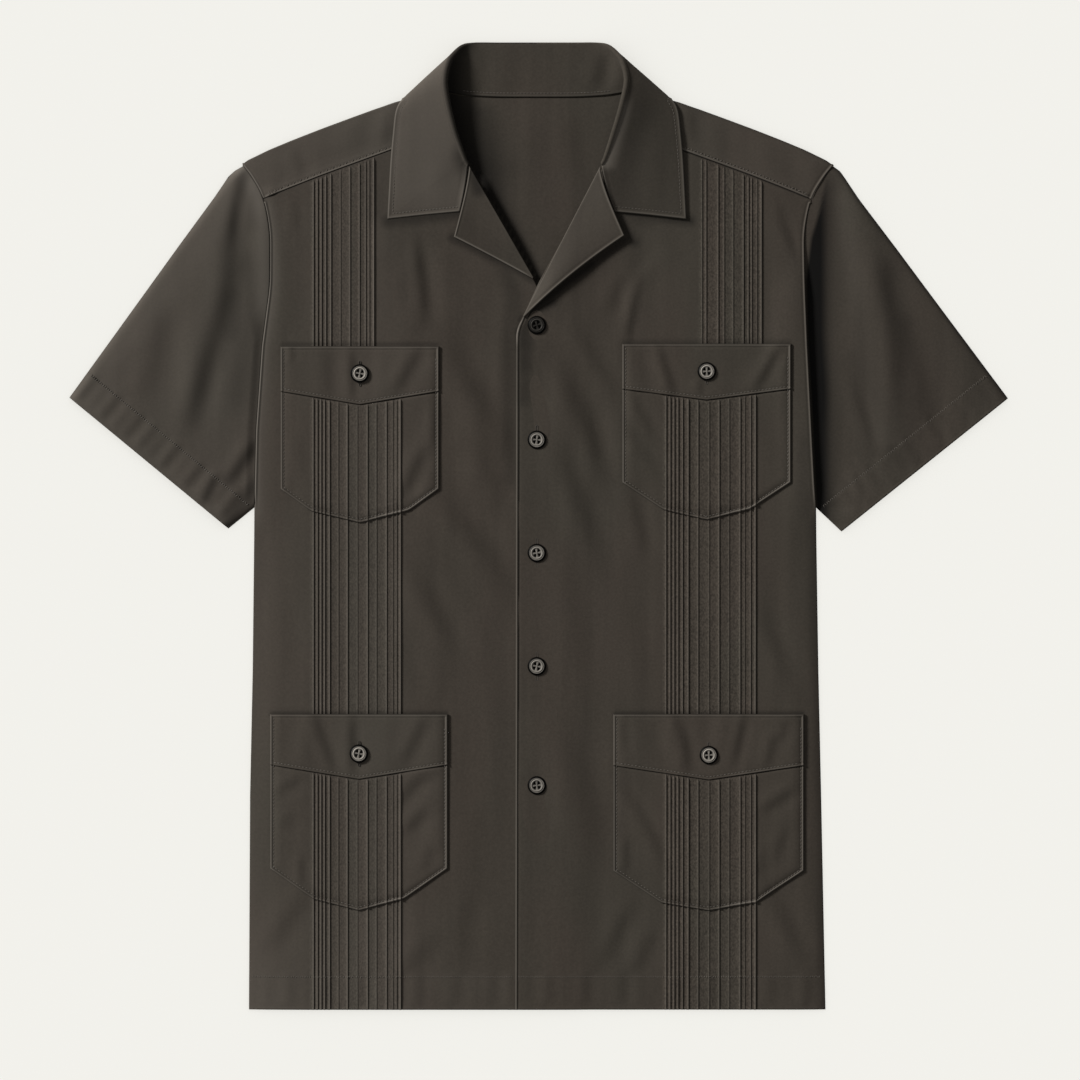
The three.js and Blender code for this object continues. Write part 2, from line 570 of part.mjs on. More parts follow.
function buildCollar() {
  // The end station lies along the gorge seam, beside the upper edge of that side's lapel.
  const stations = (l) => {
    const end = { ...COLLAR[COLLAR.length - 1] };
    const along = (l.rollY - end.ey) / (l.rollY - l.tipY);
    end.ex = mix(l.rollX, l.tipX, along) + 1.6 * SEAM;
    return [...COLLAR.slice(0, -1), end];
  };
  const grid = [];
  const right = stations(LAPELS[0]);
  const left = stations(LAPELS[1]);
  for (let k = COLLAR.length - 1; k > 0; k--) grid.push(collarSection(right[k], -1));
  for (let k = 0; k < COLLAR.length; k++) grid.push(collarSection(left[k], 1));
  add("collar", clothWall(grid, { wall: COLLAR_WALL }));
}

// ---------------------------------------------------------------- sleeves
function sleeveTopZ(v, w) {
  const full = 2.55 + 1.7 * ease(v / 0.22) * ease((1.02 - v) / 0.2);
  const fold = (w0, width, high) => high * Math.exp(-(((w - w0) / width) ** 2));
  const run = ease(v / 0.25) * ease((1 - v) / 0.25);
  const folds = fold(mix(0.2, 0.35, v), 0.1, 0.7) - fold(mix(0.38, 0.55, v), 0.09, 0.5);
  return full + run * (folds + fold(mix(0.55, 0.75, v), 0.1, 0.5));
}

// A flattened tube: rings between the armhole and the cuff, each with an outer and an inner line.
function buildSleeve(s) {
  const along = [0, 0.07, 0.16, 0.3, 0.46, 0.62, 0.77, 0.87, 0.94, 1];
  const acrossOuter = [0, 0.043, 0.099, 0.194, 0.352, 0.528, 0.774, 0.9, 1];
  const direction = new THREE.Vector2(s.cuffX - edgeX(s.side, 300.6), s.cuffY - 300.6).normalize();
  const away = new THREE.Vector2(-direction.y * s.side, direction.x * s.side);
  const bowTable = BOW_AT.map((v, k) => ({ v, out: s.bow[k] }));
  const plan = (v, w) => {
    const y = mix(300.2, 15.6, w);
    const armX = edgeX(s.side, y) + s.side * (SEAM + 0.8 * ease((y - 280) / 18));
    const bow = read(bowTable, "v", "out", v) * (1 - ease(w / 0.3));
    const cuffX = mix(s.cuffX, s.innerX, w);
    const cuffY = mix(s.cuffY, s.innerY, w);
    return [mix(armX, cuffX, v) + bow * away.x, mix(y, cuffY, v) + bow * away.y];
  };
  const rings = along.map((v) => {
    const [ax, ay] = plan(v, 0);
    const [bx, by] = plan(v, 1);
    const cross = new THREE.Vector2(bx - ax, by - ay);
    const step = (CLOTH * 1.15) / cross.length();
    const ring = (inner) => {
      const wall = inner ? CLOTH : 0;
      const w = (t) => (inner ? mix(step, 1 - step, t) : t);
      const points = [];
      for (const t of acrossOuter) {
        const [x, y] = plan(v, w(t));
        points.push(new THREE.Vector3(x, y, wall));
      }
      for (const t of [...acrossOuter].reverse()) {
        const [x, y] = plan(v, w(t));
        points.push(new THREE.Vector3(x, y, sleeveTopZ(v, t) - wall));
      }
      return points;
    };
    return { outer: ring(false), inner: ring(true) };
  });
  const count = rings[0].outer.length;
  const position = [];
  for (const r of rings) for (const p of [...r.outer, ...r.inner]) position.push(...p.toArray());
  const at = (k, inner, n) => k * 2 * count + (inner ? count : 0) + (n % count);
  const index = [];
  const quad = (a, b, c, d) => {
    if (s.side < 0) index.push(a, b, c, a, c, d);
    else index.push(a, c, b, a, d, c);
  };
  for (let n = 0; n < count; n++) {
    for (let k = 0; k < rings.length - 1; k++) {
      quad(at(k, 0, n), at(k, 0, n + 1), at(k + 1, 0, n + 1), at(k + 1, 0, n));
      quad(at(k, 1, n), at(k + 1, 1, n), at(k + 1, 1, n + 1), at(k, 1, n + 1));
    }
    const e = rings.length - 1;
    quad(at(0, 0, n), at(0, 1, n), at(0, 1, n + 1), at(0, 0, n + 1));
    quad(at(e, 0, n), at(e, 0, n + 1), at(e, 1, n + 1), at(e, 1, n));
  }
  const geometry = new THREE.BufferGeometry();
  geometry.setAttribute("position", new THREE.Float32BufferAttribute(position, 3));
  geometry.setIndex(index);
  add(s.name, geometry);
}

// ---------------------------------------------------------------- the shirt
buildBack();
buildFront(-1);
buildFront(1);
for (const p of POCKETS) buildPocket(p);
FRONT_BUTTONS.forEach((y, k) => {
  addButton("button_front_" + (k + 1), CENTRE_X, y, frontZ(1, CENTRE_X, y) + CLOTH / 2 + BUTTON_RIM);
});
for (const l of LAPELS) buildLapel(l);
buildCollar();
for (const s of SLEEVES) buildSleeve(s);

export default shirt;
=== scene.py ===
"""Camp shirt with tucked fronts, laid flat on its back: the cloth, seams, stitches and buttons.

Lengths in the tables are millimetres in the row frame: +X to the wearer's left, +Y to the collar,
+Z up from the surface that the shirt lies on. "left" and "right" in the names are the wearer's.
"""

import functools
import math
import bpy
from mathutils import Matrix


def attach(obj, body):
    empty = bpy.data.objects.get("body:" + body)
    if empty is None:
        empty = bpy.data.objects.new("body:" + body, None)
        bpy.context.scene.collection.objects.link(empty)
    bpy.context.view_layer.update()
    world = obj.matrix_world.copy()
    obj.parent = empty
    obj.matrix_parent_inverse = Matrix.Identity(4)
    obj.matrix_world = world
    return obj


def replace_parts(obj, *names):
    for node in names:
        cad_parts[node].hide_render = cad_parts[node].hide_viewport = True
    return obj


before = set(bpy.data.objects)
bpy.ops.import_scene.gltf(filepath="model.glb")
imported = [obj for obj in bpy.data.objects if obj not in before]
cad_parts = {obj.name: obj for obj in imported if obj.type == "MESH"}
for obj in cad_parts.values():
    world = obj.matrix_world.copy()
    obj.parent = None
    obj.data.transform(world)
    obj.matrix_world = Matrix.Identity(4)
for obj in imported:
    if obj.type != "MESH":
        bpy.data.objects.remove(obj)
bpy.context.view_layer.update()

from types import SimpleNamespace as Record

import bpy
import numpy as np
from bpy.props import FloatProperty, FloatVectorProperty, PointerProperty
from mathutils import Vector

bl_info = {
    "name": "Camp Shirt",
    "version": (1, 0, 0),
    "blender": (4, 5, 0),
    "location": "3D View > Sidebar > Shirt",
    "description": "Builds a tucked camp shirt laid flat, piece by piece",
    "category": "Add Mesh",
}

MM = 0.001
BODY = "root"

# ---------------------------------------------------------------- sizes shared with the solids
CENTRE_X = -1.8
HEM_Y = -403.0
WALL = 1.0
SEAM = 0.35
FRONT_Z = 1.9
FRONT_FULL = 1.25  # how far the inside of a front stands above its side seam
BACK_Z = 0.5
HEM_DEPTH = 27.5  # from the hem's edge to its stitches
CUFF_DEPTH = 26.0
THREAD_RADIUS = 0.24
CORD_RADIUS = 0.27  # of the buttonholes' edges
COLLAR_WALL = 1.1
BAND_WALL = 1.5
BAND_FACE = 1.0  # height of a band's face over the middle of its pocket's wall
NECK_HALF = 84.6
LEAN_TOP = 316  # the neck seam doesn't lean above this height
ARM_TOP = 300.6  # top of the armhole
ARMHOLE = (300.2, 15.6)  # heights of the sleeve's seam at the shoulder and under the arm

# Side seam and armhole: y, x on the wearer's right, x on the wearer's left.
SIDE = np.array([
    (-403, -241.8, 238.8), (-225, -240.9, 235.2), (-120, -238.7, 232.9), (16, -237.2, 230.8),
    (34, -236.8, 229.3), (80, -235.7, 226.9), (150, -230.8, 223.4),
    (200, -224.3, 221.4), (245, -224.2, 220.9), (272, -229.0, 226.0), (288, -237.0, 235.0),
    (301, -247.2, 245.6),
])
# Shoulder: distance from the centre line, y of the crest, y of the forward seam.
SHOULDER = np.array([
    (84.6, 361.4, 327.0), (117, 353.4, 314.6), (136, 347.0, 307.7), (159, 338.6, 299.3),
    (181, 330.4, 291.2), (203, 321.8, 282.5), (223, 313.5, 274.5), (240, 305.3, 267.7),
    (248, 300.2, 264.5),
])
# Front edge: y, distance past the centre line towards the other front's side.
FRONT_EDGE = np.array([
    (-403, 18.2), (160, 17.4), (166, 15.9), (171, 13.4), (203, -1.5), (299.9, -57.4),
    (312, -71.4), (320, -79.0), (327, -84.6),
])
# The neck opening leans towards the right sleeve: y, shift in x.
LEAN = np.array([(203, 0), (300, -1.75), (327, -2.1), (356, -1.4), (372, -0.9), (403, -1.2)])

# Tucks: x of the crest below and above the chest pocket, and the share of TUCK_H that it
# stands up there.
TUCKS = {
    -1: np.array([
        (-187.6, -187.6, 1, 1), (-184.3, -184.3, 1, 1), (-181.2, -181.0, 1, 1),
        (-178.2, -177.3, 1, 1), (-174.2, -173.1, 1.1, 1.1), (-166.8, -165.0, 0.5, 0.45),
        (-159.3, -157.2, 1, 0.8), (-150.9, -153.5, 0.4, 0), (-142.6, -149.3, 0.9, 0.8),
        (-135.1, -148.0, 0.55, 0), (-126.8, -146.8, 0.9, 0), (-121.5, -144.2, 0.4, 0.7),
        (-118.4, -141.2, 0.6, 0.6), (-115.2, -137.4, 1.5, 1.6),
    ]),
    1: np.array([
        (105.9, 135.9, 1, 0.7), (109.3, 139.3, 1, 0.9), (112.6, 144.0, 1, 0),
        (115.9, 149.3, 1, 1), (119.7, 151.6, 1, 0), (124.4, 154.3, 1.3, 0.7),
        (132.6, 161.8, 0.9, 0.7), (141.8, 166.0, 0.6, 0), (150.1, 170.4, 1, 1),
        (158.5, 172.4, 0.6, 0), (167.6, 174.5, 1, 0.9), (171.6, 177.3, 0.5, 0.8),
        (176.4, 181.8, 0.8, 0.6), (180.3, 185.3, 1.5, 1.5),
    ]),
}
TUCK_H = 0.72
TUCK_LIGHT = {-1: 0.34, 1: 0.26}
TUCK_DARK = 0.40
TUCK_LEFT = (1.7, 1.0, 0.4)  # grid lines on the rising flank, mm from the crest
TUCK_RIGHT = (0.22, 0.45, 0.75, 1.15)  # and on the falling flank and the floor beside it
TUCK_TOP_Y = 20.0  # the tucks start to move over here, behind the chest pocket
TUCK_SHIFT = 110.0  # and have moved over at this height above that

# Warm (+) or cool (-) tone of the strips, from the plain cloth left of the tucks to the right.
STRIPS = {
    -1: (0, 0.3, 0.5, 0.4, 0.2, 0.5, 0.9, -0.3, 0.7, -0.6, 0.2, 0.9, 0.6, 0.8, 0.5, 0),
    1: (0, 0.9, 1.0, 0.9, 1.0, 0.6, -0.3, -0.4, -0.1, -0.3, 0.1, 0.3, 0.6, 0.2, 0.1, 0),
}

# Patch pockets and the line of their bands; shade is the strength of painted shade along a pocket's
# left side.
POCKETS = [
    Record(name="chest_right", x0=-215.2, x1=-82.9, top=149.6, corner=30.5, cut=25, cut_y=12.5,
         point=2.6, band_side=112.0, band_mid=101.0, button=126.8, shade=0),
    Record(name="chest_left", x0=69.2, x1=210.0, top=151.8, corner=36.0, cut=34, cut_y=13.6,
         point=5.0, band_side=114.0, band_mid=104.8, button=128.6, shade=0),
    Record(name="hip_right", x0=-224.0, x1=-75.7, top=-156.5, corner=-285.5, cut=36, cut_y=-310.6,
         point=-320.2, band_side=-198.8, band_mid=-210.8, button=-189.4, shade=0),
    Record(name="hip_left", x0=61.7, x1=221.0, top=-156.5, corner=-287.4, cut=40, cut_y=-313.8,
         point=-320.4, band_side=-199.4, band_mid=-211.4, button=-190.7, shade=0.18),
]
FRONT_BUTTONS = [167.2, 71.7, -22.5, -116.8, -216.0]
# Turn of each front button, the strength of an even painted shadow over it, and of a painted
# highlight on its inner ring.
FRONT_BUTTON_LOOKS = [
    (0.3, 0.9, 0.06), (-0.1, 0, 0.4), (0.15, 0, 0.4), (-0.2, 0, 0.4), (0.1, 0.2, 0.4),
]
LAPELS = [
    Record(name="lapel_right", side=-1, start=(1.6, 204.6), roll=(56.4, 299.5), tip=(69.2, 240.4),
         bow=0.5, gorge=1.3, flat=(0.061, 0.112), area=0.0025),
    Record(name="lapel_left", side=1, start=(-13.2, 171.2), roll=(52.8, 299.5), tip=(73.0, 241.6),
         bow=2.9, gorge=2.4, flat=(0.062, 0.146), area=0.0038),
]
# Collar from the centre back to the gorge: neck seam (3), crest of the roll (3), free edge (3),
# direction of the crest (3), way the fall turns (3), radius, drop, bulge.
COLLAR = np.array([
    (0, 357.4, 2.1, 0, 402.4, 2.0, 0, 346, 0.6, 0, 1, 0, 0, 0, -1, 1.35, 1, 0),
    (32, 357.6, 2.1, 30, 402.4, 2.0, 40, 346, 0.6, 0, 1, 0, 0, 0, -1, 1.35, 1, 0),
    (55, 358.8, 2.1, 51, 402.3, 2.6, 75, 346, 0.6, 0.05, 0.99, 0.1, 0, 0.1, -1, 1.5, 1, 0),
    (70, 360.8, 2.2, 60.4, 400.2, 6.0, 97, 346.4, 0.6, 0.2, 0.8, 0.6, 0.35, 0.5, -0.8, 1.9, 3, 0.6),
    (80.5, 363.4, 3.0, 67.0, 393.9, 10.5, 109.3, 353.2, 0.9, 0.05, 0.5, 0.87, 0.75, 0.55, -0.4,
     2.3, 2, 0.6),
    (83.0, 358.4, 4.2, 72.2, 385.4, 14.0, 112.8, 354.3, 4.9, -0.1, 0.2, 0.97, 0.95, 0.3, 0,
     2.6, 1.6, 0.5),
    (83.2, 350, 4.3, 75.2, 370, 15.6, 117.6, 345, 7.0, -0.15, 0, 0.99, 0.99, 0.05, 0.1, 2.8, 3, 0),
    (83.2, 338, 4.2, 72.2, 351, 14.8, 120.0, 326, 6.3, -0.15, 0, 0.99, 0.99, 0, 0.1, 2.8, 3, 0),
    (79.5, 323, 3.6, 66.6, 330, 12.4, 122.0, 303, 5.6, -0.15, 0.05, 0.98, 0.98, -0.1, 0.1,
     2.5, 3, 0),
    (69.5, 311.6, 3.2, 61.6, 315, 10.2, 123.4, 278, 5.2, -0.15, 0.05, 0.98, 0.95, -0.3, 0.1,
     2.1, 2.6, 0),
    (61.4, 303.6, 3.1, 58.0, 305, 8.4, 124.6, 255.4, 4.9, -0.1, 0.05, 0.98, 0.8, -0.6, 0.1,
     1.7, 2.4, 0),
    (58.8, 301.4, 3.1, 56.5, 302.4, 7.8, 94, 258.8, 4.9, 0, 0.05, 0.98, 0.6, -0.8, 0.1,
     1.5, 2.2, 0),
    (57.0, 300.2, 3.1, 55.6, 300.9, 7.4, 64.7, 261.6, 4.9, 0, 0.05, 0.98, 0.25, -0.97, 0.1,
     1.4, 2.0, 0),
])
COLLAR_CORNER = 10  # station at the point of the leaf
# Sleeves: cuff corners, and how far the outer edge bows out at BOW_AT along it.
SLEEVES = [
    Record(name="sleeve_right", side=-1, cuff=(-391.0, 106.7), inner=(-258.9, -2.1),
         bow=(0, 3.2, 4.6, 3.7, 3.2, 2.2, 0.6)),
    Record(name="sleeve_left", side=1, cuff=(390.9, 106.4), inner=(252.1, -4.6),
         bow=(0, 2.2, 2.0, 0.8, 0.9, 0.5, 0)),
]
BOW_AT = (0, 0.03, 0.06, 0.145, 0.36, 0.6, 1)

# ---------------------------------------------------------------- creases
# Each crease: from x, y to x, y, width, depth, bend. A positive depth falls away from the lamp.
RIGHT_FRONT_CREASES = [
    (-101, 233, -94, 174, 6.0, 1.3, 1), (-76, 150, -30, 78, 12, 1.9, -1),
    (-50, 58, -28, 22, 10, 0.9, 0), (-27, 160, -25, 44, 6, 0.6, 0), (-86, 26, -24, -50, 11, 2.1, 3),
    (-66, 90, -61, 30, 12, -0.6, 0), (-106, -38, -70, -104, 9.0, 1.3, 2),
    (-102, -96, -90, -136, 9, -0.5, 0), (-52, -90, -30, -150, 16, 0.6, 0),
    (-210, 236, -209, 160, 8, 0.5, 2), (-204, 268, -202, 244, 5, 0.3, 0),
    (-52, -240, -48, -318, 12, 0.5, 0), (-62, -312, -66, -366, 8, 0.45, 0),
    (-84, -342, -112, -372, 9, 0.5, 0), (-194, -306, -224, -352, 9, 0.6, 0),
    (-60, 240, -24, 206, 7, 0.5, 0), (-74, 128, -64, 80, 11, -0.6, 0),
    (-212, -60, -209, -120, 8, 0.25, 1), (-122, 250, -118, 222, 9, 0.35, 0),
]
LEFT_FRONT_CREASES = [
    (84, 204, 75, 154, 4.6, 0.8, -1.5), (92, 222, 72, 172, 6, -0.45, -2),
    (198, 276, 216, 222, 4.5, 0.6, -2.5), (188, 276, 200, 244, 5, 0.3, 0),
    (34, 158, 65, 113, 7, 0.95, 0), (18, 128, 54, 38, 9.5, 1.4, 4.5),
    (13, 70, 50, -18, 10, 1.3, 0.5), (66, 206, 60, 180, 6, 0.5, 0), (8, 132, 12, 58, 8, -0.55, 0),
    (56, 96, 62, 52, 8, -0.5, 0), (77, 26, 88, -20, 6, 0.7, 1), (186, -74, 208, -130, 8, 0.9, 2),
    (212, -40, 214, -120, 10, -0.4, 0), (22, -30, 34, -110, 12, 0.45, 2),
    (17, -170, 50, -268, 14, 1.2, 5), (6, -214, 14, -258, 10, -0.5, 0),
    (76, -318, 54, -362, 7, 0.5, 0), (78, -330, 70, -372, 6, -0.2, 0),
    (94, -340, 84, -368, 6, 0.5, 0), (188, -302, 219, -358, 8, 1.0, 2),
    (104, 250, 118, 220, 9, 0.35, 0), (70, -60, 88, -136, 11, 0.4, 3),
    (198, 152, 204, 210, 9, -0.45, 0),
]
RIGHT_SLEEVE_CREASES = [
    (-246, 296, -256, 238, 5, 0.7, -2), (-255, 260, -258, 188, 9.5, 0.75, -2),
    (-236, 286, -233, 190, 7, -0.9, 0), (-258, 202, -290, 86, 8.5, 1.05, 0),
    (-297, 186, -299, 100, 10, -0.7, 0), (-306, 182, -330, 112, 12, 0.55, 0),
    (-239, 66, -256, 38, 6, 0.8, 0), (-266, 42, -281, 18, 4, 0.5, 0),
    (-282, 236, -318, 176, 12, -0.3, 0), (-336, 150, -352, 122, 8, 0.3, 0),
    (-262, 140, -268, 96, 9, -0.35, 0),
]
LEFT_SLEEVE_CREASES = [
    (256, 276, 272, 196, 11, -0.8, 3), (274, 204, 294, 76, 12, -0.85, 4),
    (285, 216, 299, 104, 8.5, 1.25, 3), (303, 176, 323, 92, 9, 0.75, 1),
    (262, 116, 277, 66, 5, 0.5, 1), (336, 160, 352, 124, 10, -0.4, 0),
    (262, 280, 284, 240, 9, 0.35, 0), (350, 110, 358, 92, 5, 0.4, 0),
    (262, 44, 270, 24, 4, 0.45, 0), (250, 96, 256, 40, 7, 0.3, 0),
]
POCKET_CREASES = {
    "chest_right": [(-97, 62, -112, 26, 6, 0.8, 0), (-200, 72, -196, 44, 6, 0.35, 0),
                    (-92, 100, -96, 70, 7, -0.4, 0)],
    "chest_left": [(77, 108, 97, 74, 5, 0.7, 0), (74, 74, 100, 44, 6, 0.7, 2),
                   (186, 92, 198, 50, 8, 0.3, 0)],
    "hip_right": [(-90, -206, -113, -228, 6, 0.7, -3), (-94, -236, -111, -255, 6, 0.65, 0),
                  (-90, -268, -95, -288, 6, 0.5, 0), (-199, -211, -219, -222, 5, 0.5, 0),
                  (-206, -240, -212, -252, 6, 0.35, 0), (-198, -276, -197, -298, 4, 0.5, 0)],
    "hip_left": [(72, -224, 104, -280, 5.5, 0.75, 3), (72, -262, 73, -286, 5, 0.5, 0),
                 (212, -220, 187, -236, 5.5, 0.7, 0), (204, -254, 196, -282, 5, 0.45, 0),
                 (188, -268, 185, -288, 5, 0.45, 0)],
}
BAND_CREASES = {
    "chest_right": [(-176, 146, -175, 106, 6, 0.55, 0), (-156, 144, -155, 108, 4, 0.55, 0),
                    (-99, 147, -119, 112, 6, 0.7, 0), (-207, 149, -204, 138, 3, 0.4, 0),
                    (-134, 146, -136, 110, 8, -0.4, 0)],
    "chest_left": [(100, 148, 113, 110, 4.5, 0.65, 0), (90, 148, 100, 112, 6, -0.5, 0),
                   (201, 150, 182, 116, 4.5, 0.7, 0), (192, 150, 172, 118, 9, -0.35, 0),
                   (134, 121, 135, 110, 4, 0.4, 0)],
    "hip_right": [(-187, -158, -171, -202, 5, 0.8, 0), (-156, -160, -155, -204, 4.5, 0.7, 0),
                  (-94, -160, -113, -198, 6, 0.6, 0), (-200, -162, -204, -196, 7, -0.35, 0),
                  (-138, -160, -136, -200, 8, -0.4, 0)],
    "hip_left": [(113, -158, 125, -200, 5, 0.8, 2), (102, -170, 112, -204, 6, -0.55, 0),
                 (171, -158, 163, -196, 4.5, 0.7, 0), (148, -158, 144, -186, 7, -0.5, 0),
                 (196, -176, 190, -200, 5, 0.5, 0), (206, -160, 202, -178, 5, 0.4, 0),
                 (68, -162, 70, -186, 5, 0.4, 0)],
}
BACK_CREASES = [
    (28, 340, 38, 280, 9, 0.5, 0), (-20, 350, -26, 250, 16, -0.4, 0),
    (-58, 330, -30, 250, 12, -0.4, 0),
]
SHOULDER_CREASES = [
    (-204, 312, -196, 292, 5, 0.5, 0), (-222, 284, -214, 272, 4, 0.5, 0),
    (-126, 344, -128, 318, 5, 0.5, 0), (-150, 338, -152, 310, 9, 0.35, 0),
    (150, 338, 156, 304, 9, 0.35, 0), (196, 318, 204, 286, 8, 0.4, 0),
    (128, 346, 130, 320, 5, 0.4, 0), (224, 306, 222, 276, 6, -0.3, 0),
]
COLLAR_CREASES = [
    (-48, 396, -50, 362, 6, 0.35, 0), (54, 396, 48, 366, 6, 0.55, 0),
    (64, 392, 60, 366, 5, -0.35, 0), (-20, 396, -22, 362, 12, 0.25, 0),
    (-102, 350, -104, 290, 12, 0.3, 0), (-78, 300, -74, 268, 9, 0.3, 0),
    (92, 330, 82, 270, 10, -0.5, 0),
]

# ---------------------------------------------------------------- painted light and shade
# Line of the right-hand roll seen from above, and the run of the painted shade beside it: y,
# length.
NECK_ROLL = np.array([
    (-66, 404), (-72, 392), (-74, 370), (-73, 350), (-66, 325), (-58, 303), (-30, 255), (-2, 207),
])
NECK_SHADE_RUN = np.array([
    (200, 7), (235, 11), (250, 14), (270, 20), (285, 30), (300, 42), (330, 46), (345, 45),
    (360, 28), (400, 20),
])
# Foot of the left-hand roll, where the leaf leaves it; painted shade lies beside it on the fall.
LEFT_ROLL_FOOT = ((81, 345), (77, 328), (74, 309), (69, 290), (64, 274))
# Lines of painted shade in the right leaf's hollow beside the gorge, on the collar and on the
# lapel.
GORGE_PAINTED_SHADE_LINE = ((-61, 308), (-51, 283))
LAPEL_PAINTED_SHADE_LINE = ((-57, 303), (-50, 280))

# Left border of the painted shade in the hollow of the left sleeve beside the body, where the
# body's shadow falls: y, x.
PIT_SHADE = np.array([
    (0, 232), (60, 228.6), (100, 227), (160, 223.4), (205, 222.4), (225, 225), (240, 227),
    (260, 233), (282, 238), (300, 241),
])
# Line of painted light along the ridge beside that hollow.
PIT_RIDGE = ((249, 282), (256, 236), (265, 190), (272, 140), (280, 100), (284, 75))
# Painted shade in the folds of the sleeves: line, run, strength.
LEFT_SLEEVE_SHADES = [
    (((290, 210), (301, 108), (299, 62)), 13, 0.22),
    (((308, 168), (324, 94)), 11, 0.15),
    (((350, 158), (368, 116)), 17, 0.10),
    (((260, 138), (262, 62)), 9, 0.14),
]
RIGHT_SLEEVE_SHADES = [
    (((-244, 292), (-252, 262), (-256, 235), (-257, 208)), 8, 0.20),
    (((-257, 212), (-266, 172), (-277, 135), (-288, 92)), 11, 0.16),
    (((-242, 215), (-244, 180), (-246, 140), (-250, 110)), 14, 0.17),
    (((-257, 190), (-258, 164)), 14, 0.32),
    (((-258, 164), (-260, 136)), 12, 0.12),
    (((-237, 284), (-239, 252)), 8, 0.16),
    (((-238, 66), (-253, 44), (-259, 38)), 5, 0.30),
    (((-237, 34), (-258, 1)), 6, 0.40),
    (((-272, 38), (-277, 24)), 4, 0.30),
    (((-316, 170), (-326, 115)), 9, 0.06),
]
# Painted shade on the fronts beside what lies over them, where their shadows fall: side, line, run,
# strength.
FRONT_SHADES = [
    (-1, ((-125, 254), (-66, 262)), 11, 0.55),
    (-1, ((-72, 240), (-2, 205)), 7, 0.55),
    (1, ((66, 262), (126, 254)), 8, 0.55),
    (1, ((-14, 172), (18, 198), (44, 218)), 8, 0.8),
    (1, ((44, 218), (72, 238)), 7, 0.6),
    (1, ((65, 258), (80, 236)), 9, 0.5),
    (1, ((72, 256), (92, 254)), 12, 0.25),
    (1, ((4, 150), (3, 112)), 14, 0.15),
    (1, ((221, 70), (222, 12)), 9, 0.15),
    (1, ((-14, 172), (18, 198), (44, 218), (73, 240)), 24, 0.16),
    (1, ((-13, 178), (-12, 150)), 15, 0.55),
    (1, ((-9, 176), (12, 187)), 8, 0.72),
    (1, ((-11, 164), (-12, 132)), 13, 0.48),
    (1, ((-12, 132), (-13, 106)), 12, 0.32),
    (-1, ((-20, 160), (-20, 40)), 16, 0.22),
    (-1, ((-28, 214), (-20, 192), (-18, 148), (-18, 118)), 13, 0.26),
    (-1, ((-139, 314), (-137, 262)), 17, 0.18),
    (-1, ((-114, 254), (-113, 192)), 10, 0.13),
    (-1, ((-15, 174), (-18, 163), (-19, 144)), 2.4, 0.75),
]

# Colour of painted shade on the cloth: hollows, grooves and the places where shadows fall.
CLOTH_PAINTED_SHADE = (0.003, 0.0027, 0.0024)  # colour where no light gets in
# Colour of painted shade on the buttons.
BUTTON_PAINTED_SHADE = (0.002, 0.0018, 0.0016)
LAMP_AWAY = np.array((0.84, -0.54))  # direction in which the main light travels, in plan
LAMP_HEIGHT = math.radians(24)
LAMP_COLOUR = (1.0, 0.995, 0.985)
CAMERA_AT = (0.0008, -0.0117, 3.0)
CAMERA_VIEW = 0.9007  # width of the view on the floor


# ---------------------------------------------------------------- values a user may change
def colour(name, description, default):
    return FloatVectorProperty(name=name, description=description, default=default,
                               subtype="COLOR", size=3, min=0, max=1)


def number(name, description, default, low, high, **kind):
    return FloatProperty(name=name, description=description, default=default,
                         min=low, max=high, **kind)


class ShirtCloth(bpy.types.PropertyGroup):
    """Colours and relief of the cloth."""

    olive: colour("Cool tone", "Colour of the cloth in its cooler patches",
                  (0.0424, 0.0365, 0.0286))
    umber: colour("Warm tone", "Colour of the cloth in its warmer patches",
                  (0.0452, 0.0370, 0.0293))
    # This tone serves both real wear on edges and painted light and highlights.
    rubbed_and_painted_light: colour("Rubbed edge", "Colour where edges and folds are worn lighter",
                   (0.135, 0.120, 0.102))
    thread: colour("Thread", "Colour of the stitches", (0.066, 0.058, 0.049))
    crease_depth: number("Crease depth", "Scales the depth of every crease", 1.0, 0, 3,
                         subtype="FACTOR")


class ShirtButtons(bpy.types.PropertyGroup):
    """Size and colour of the buttons."""

    radius: number("Radius", "Outer radius of a button", 7.7 * MM, 0.004, 0.012, unit="LENGTH")
    height: number("Height", "Thickness of a button at its rim", 2.2 * MM, 0.001, 0.004,
                   unit="LENGTH")
    colour: colour("Colour", "Colour of the button's face", (0.158, 0.146, 0.128))


class ShirtLight(bpy.types.PropertyGroup):
    """Floor, lamp and fill."""

    floor: colour("Floor", "Colour of the floor", (0.902, 0.896, 0.856))
    lamp: number("Lamp", "Strength of the main light", 5.25, 0, 20)
    fill: number("Fill", "Strength of the light from all round", 0.305, 0, 5)
    softness: number("Softness", "Angle over which the main light is spread",
                     math.radians(11), 0, 3.1, subtype="ANGLE")


class ShirtSizes(bpy.types.PropertyGroup):
    """All the values of the shirt."""

    cloth: PointerProperty(type=ShirtCloth)
    buttons: PointerProperty(type=ShirtButtons)
    light: PointerProperty(type=ShirtLight)


def sizes():
    """The values that a user may change."""
    return bpy.context.scene.camp_shirt


def shirt_pieces():
    """The collection of the shirt's pieces."""
    found = bpy.data.collections.get("shirt")
    if found is None:
        found = bpy.data.collections.new("shirt")
        bpy.context.scene.collection.children.link(found)
    return found


# ---------------------------------------------------------------- curves and heights
def ease(t):
    """Smooth step: 3t^2 - 2t^3, with t kept from 0 to 1."""
    s = np.clip(t, 0, 1)
    return s * s * (3 - 2 * s)


def mix(a, b, t):
    return a + (b - a) * t


def between(x, low, high, run):
    """1 from low to high, easing to 0 within a run inside both."""
    return ease((x - low) / run) * ease((high - x) / run)


def strongest(*values):
    """The largest of several values at each point."""
    return functools.reduce(np.maximum, values)


def hand(side):
    return "right" if side < 0 else "left"


def hump(t):
    """Bell: e to the minus t squared."""
    return np.exp(-np.square(t))


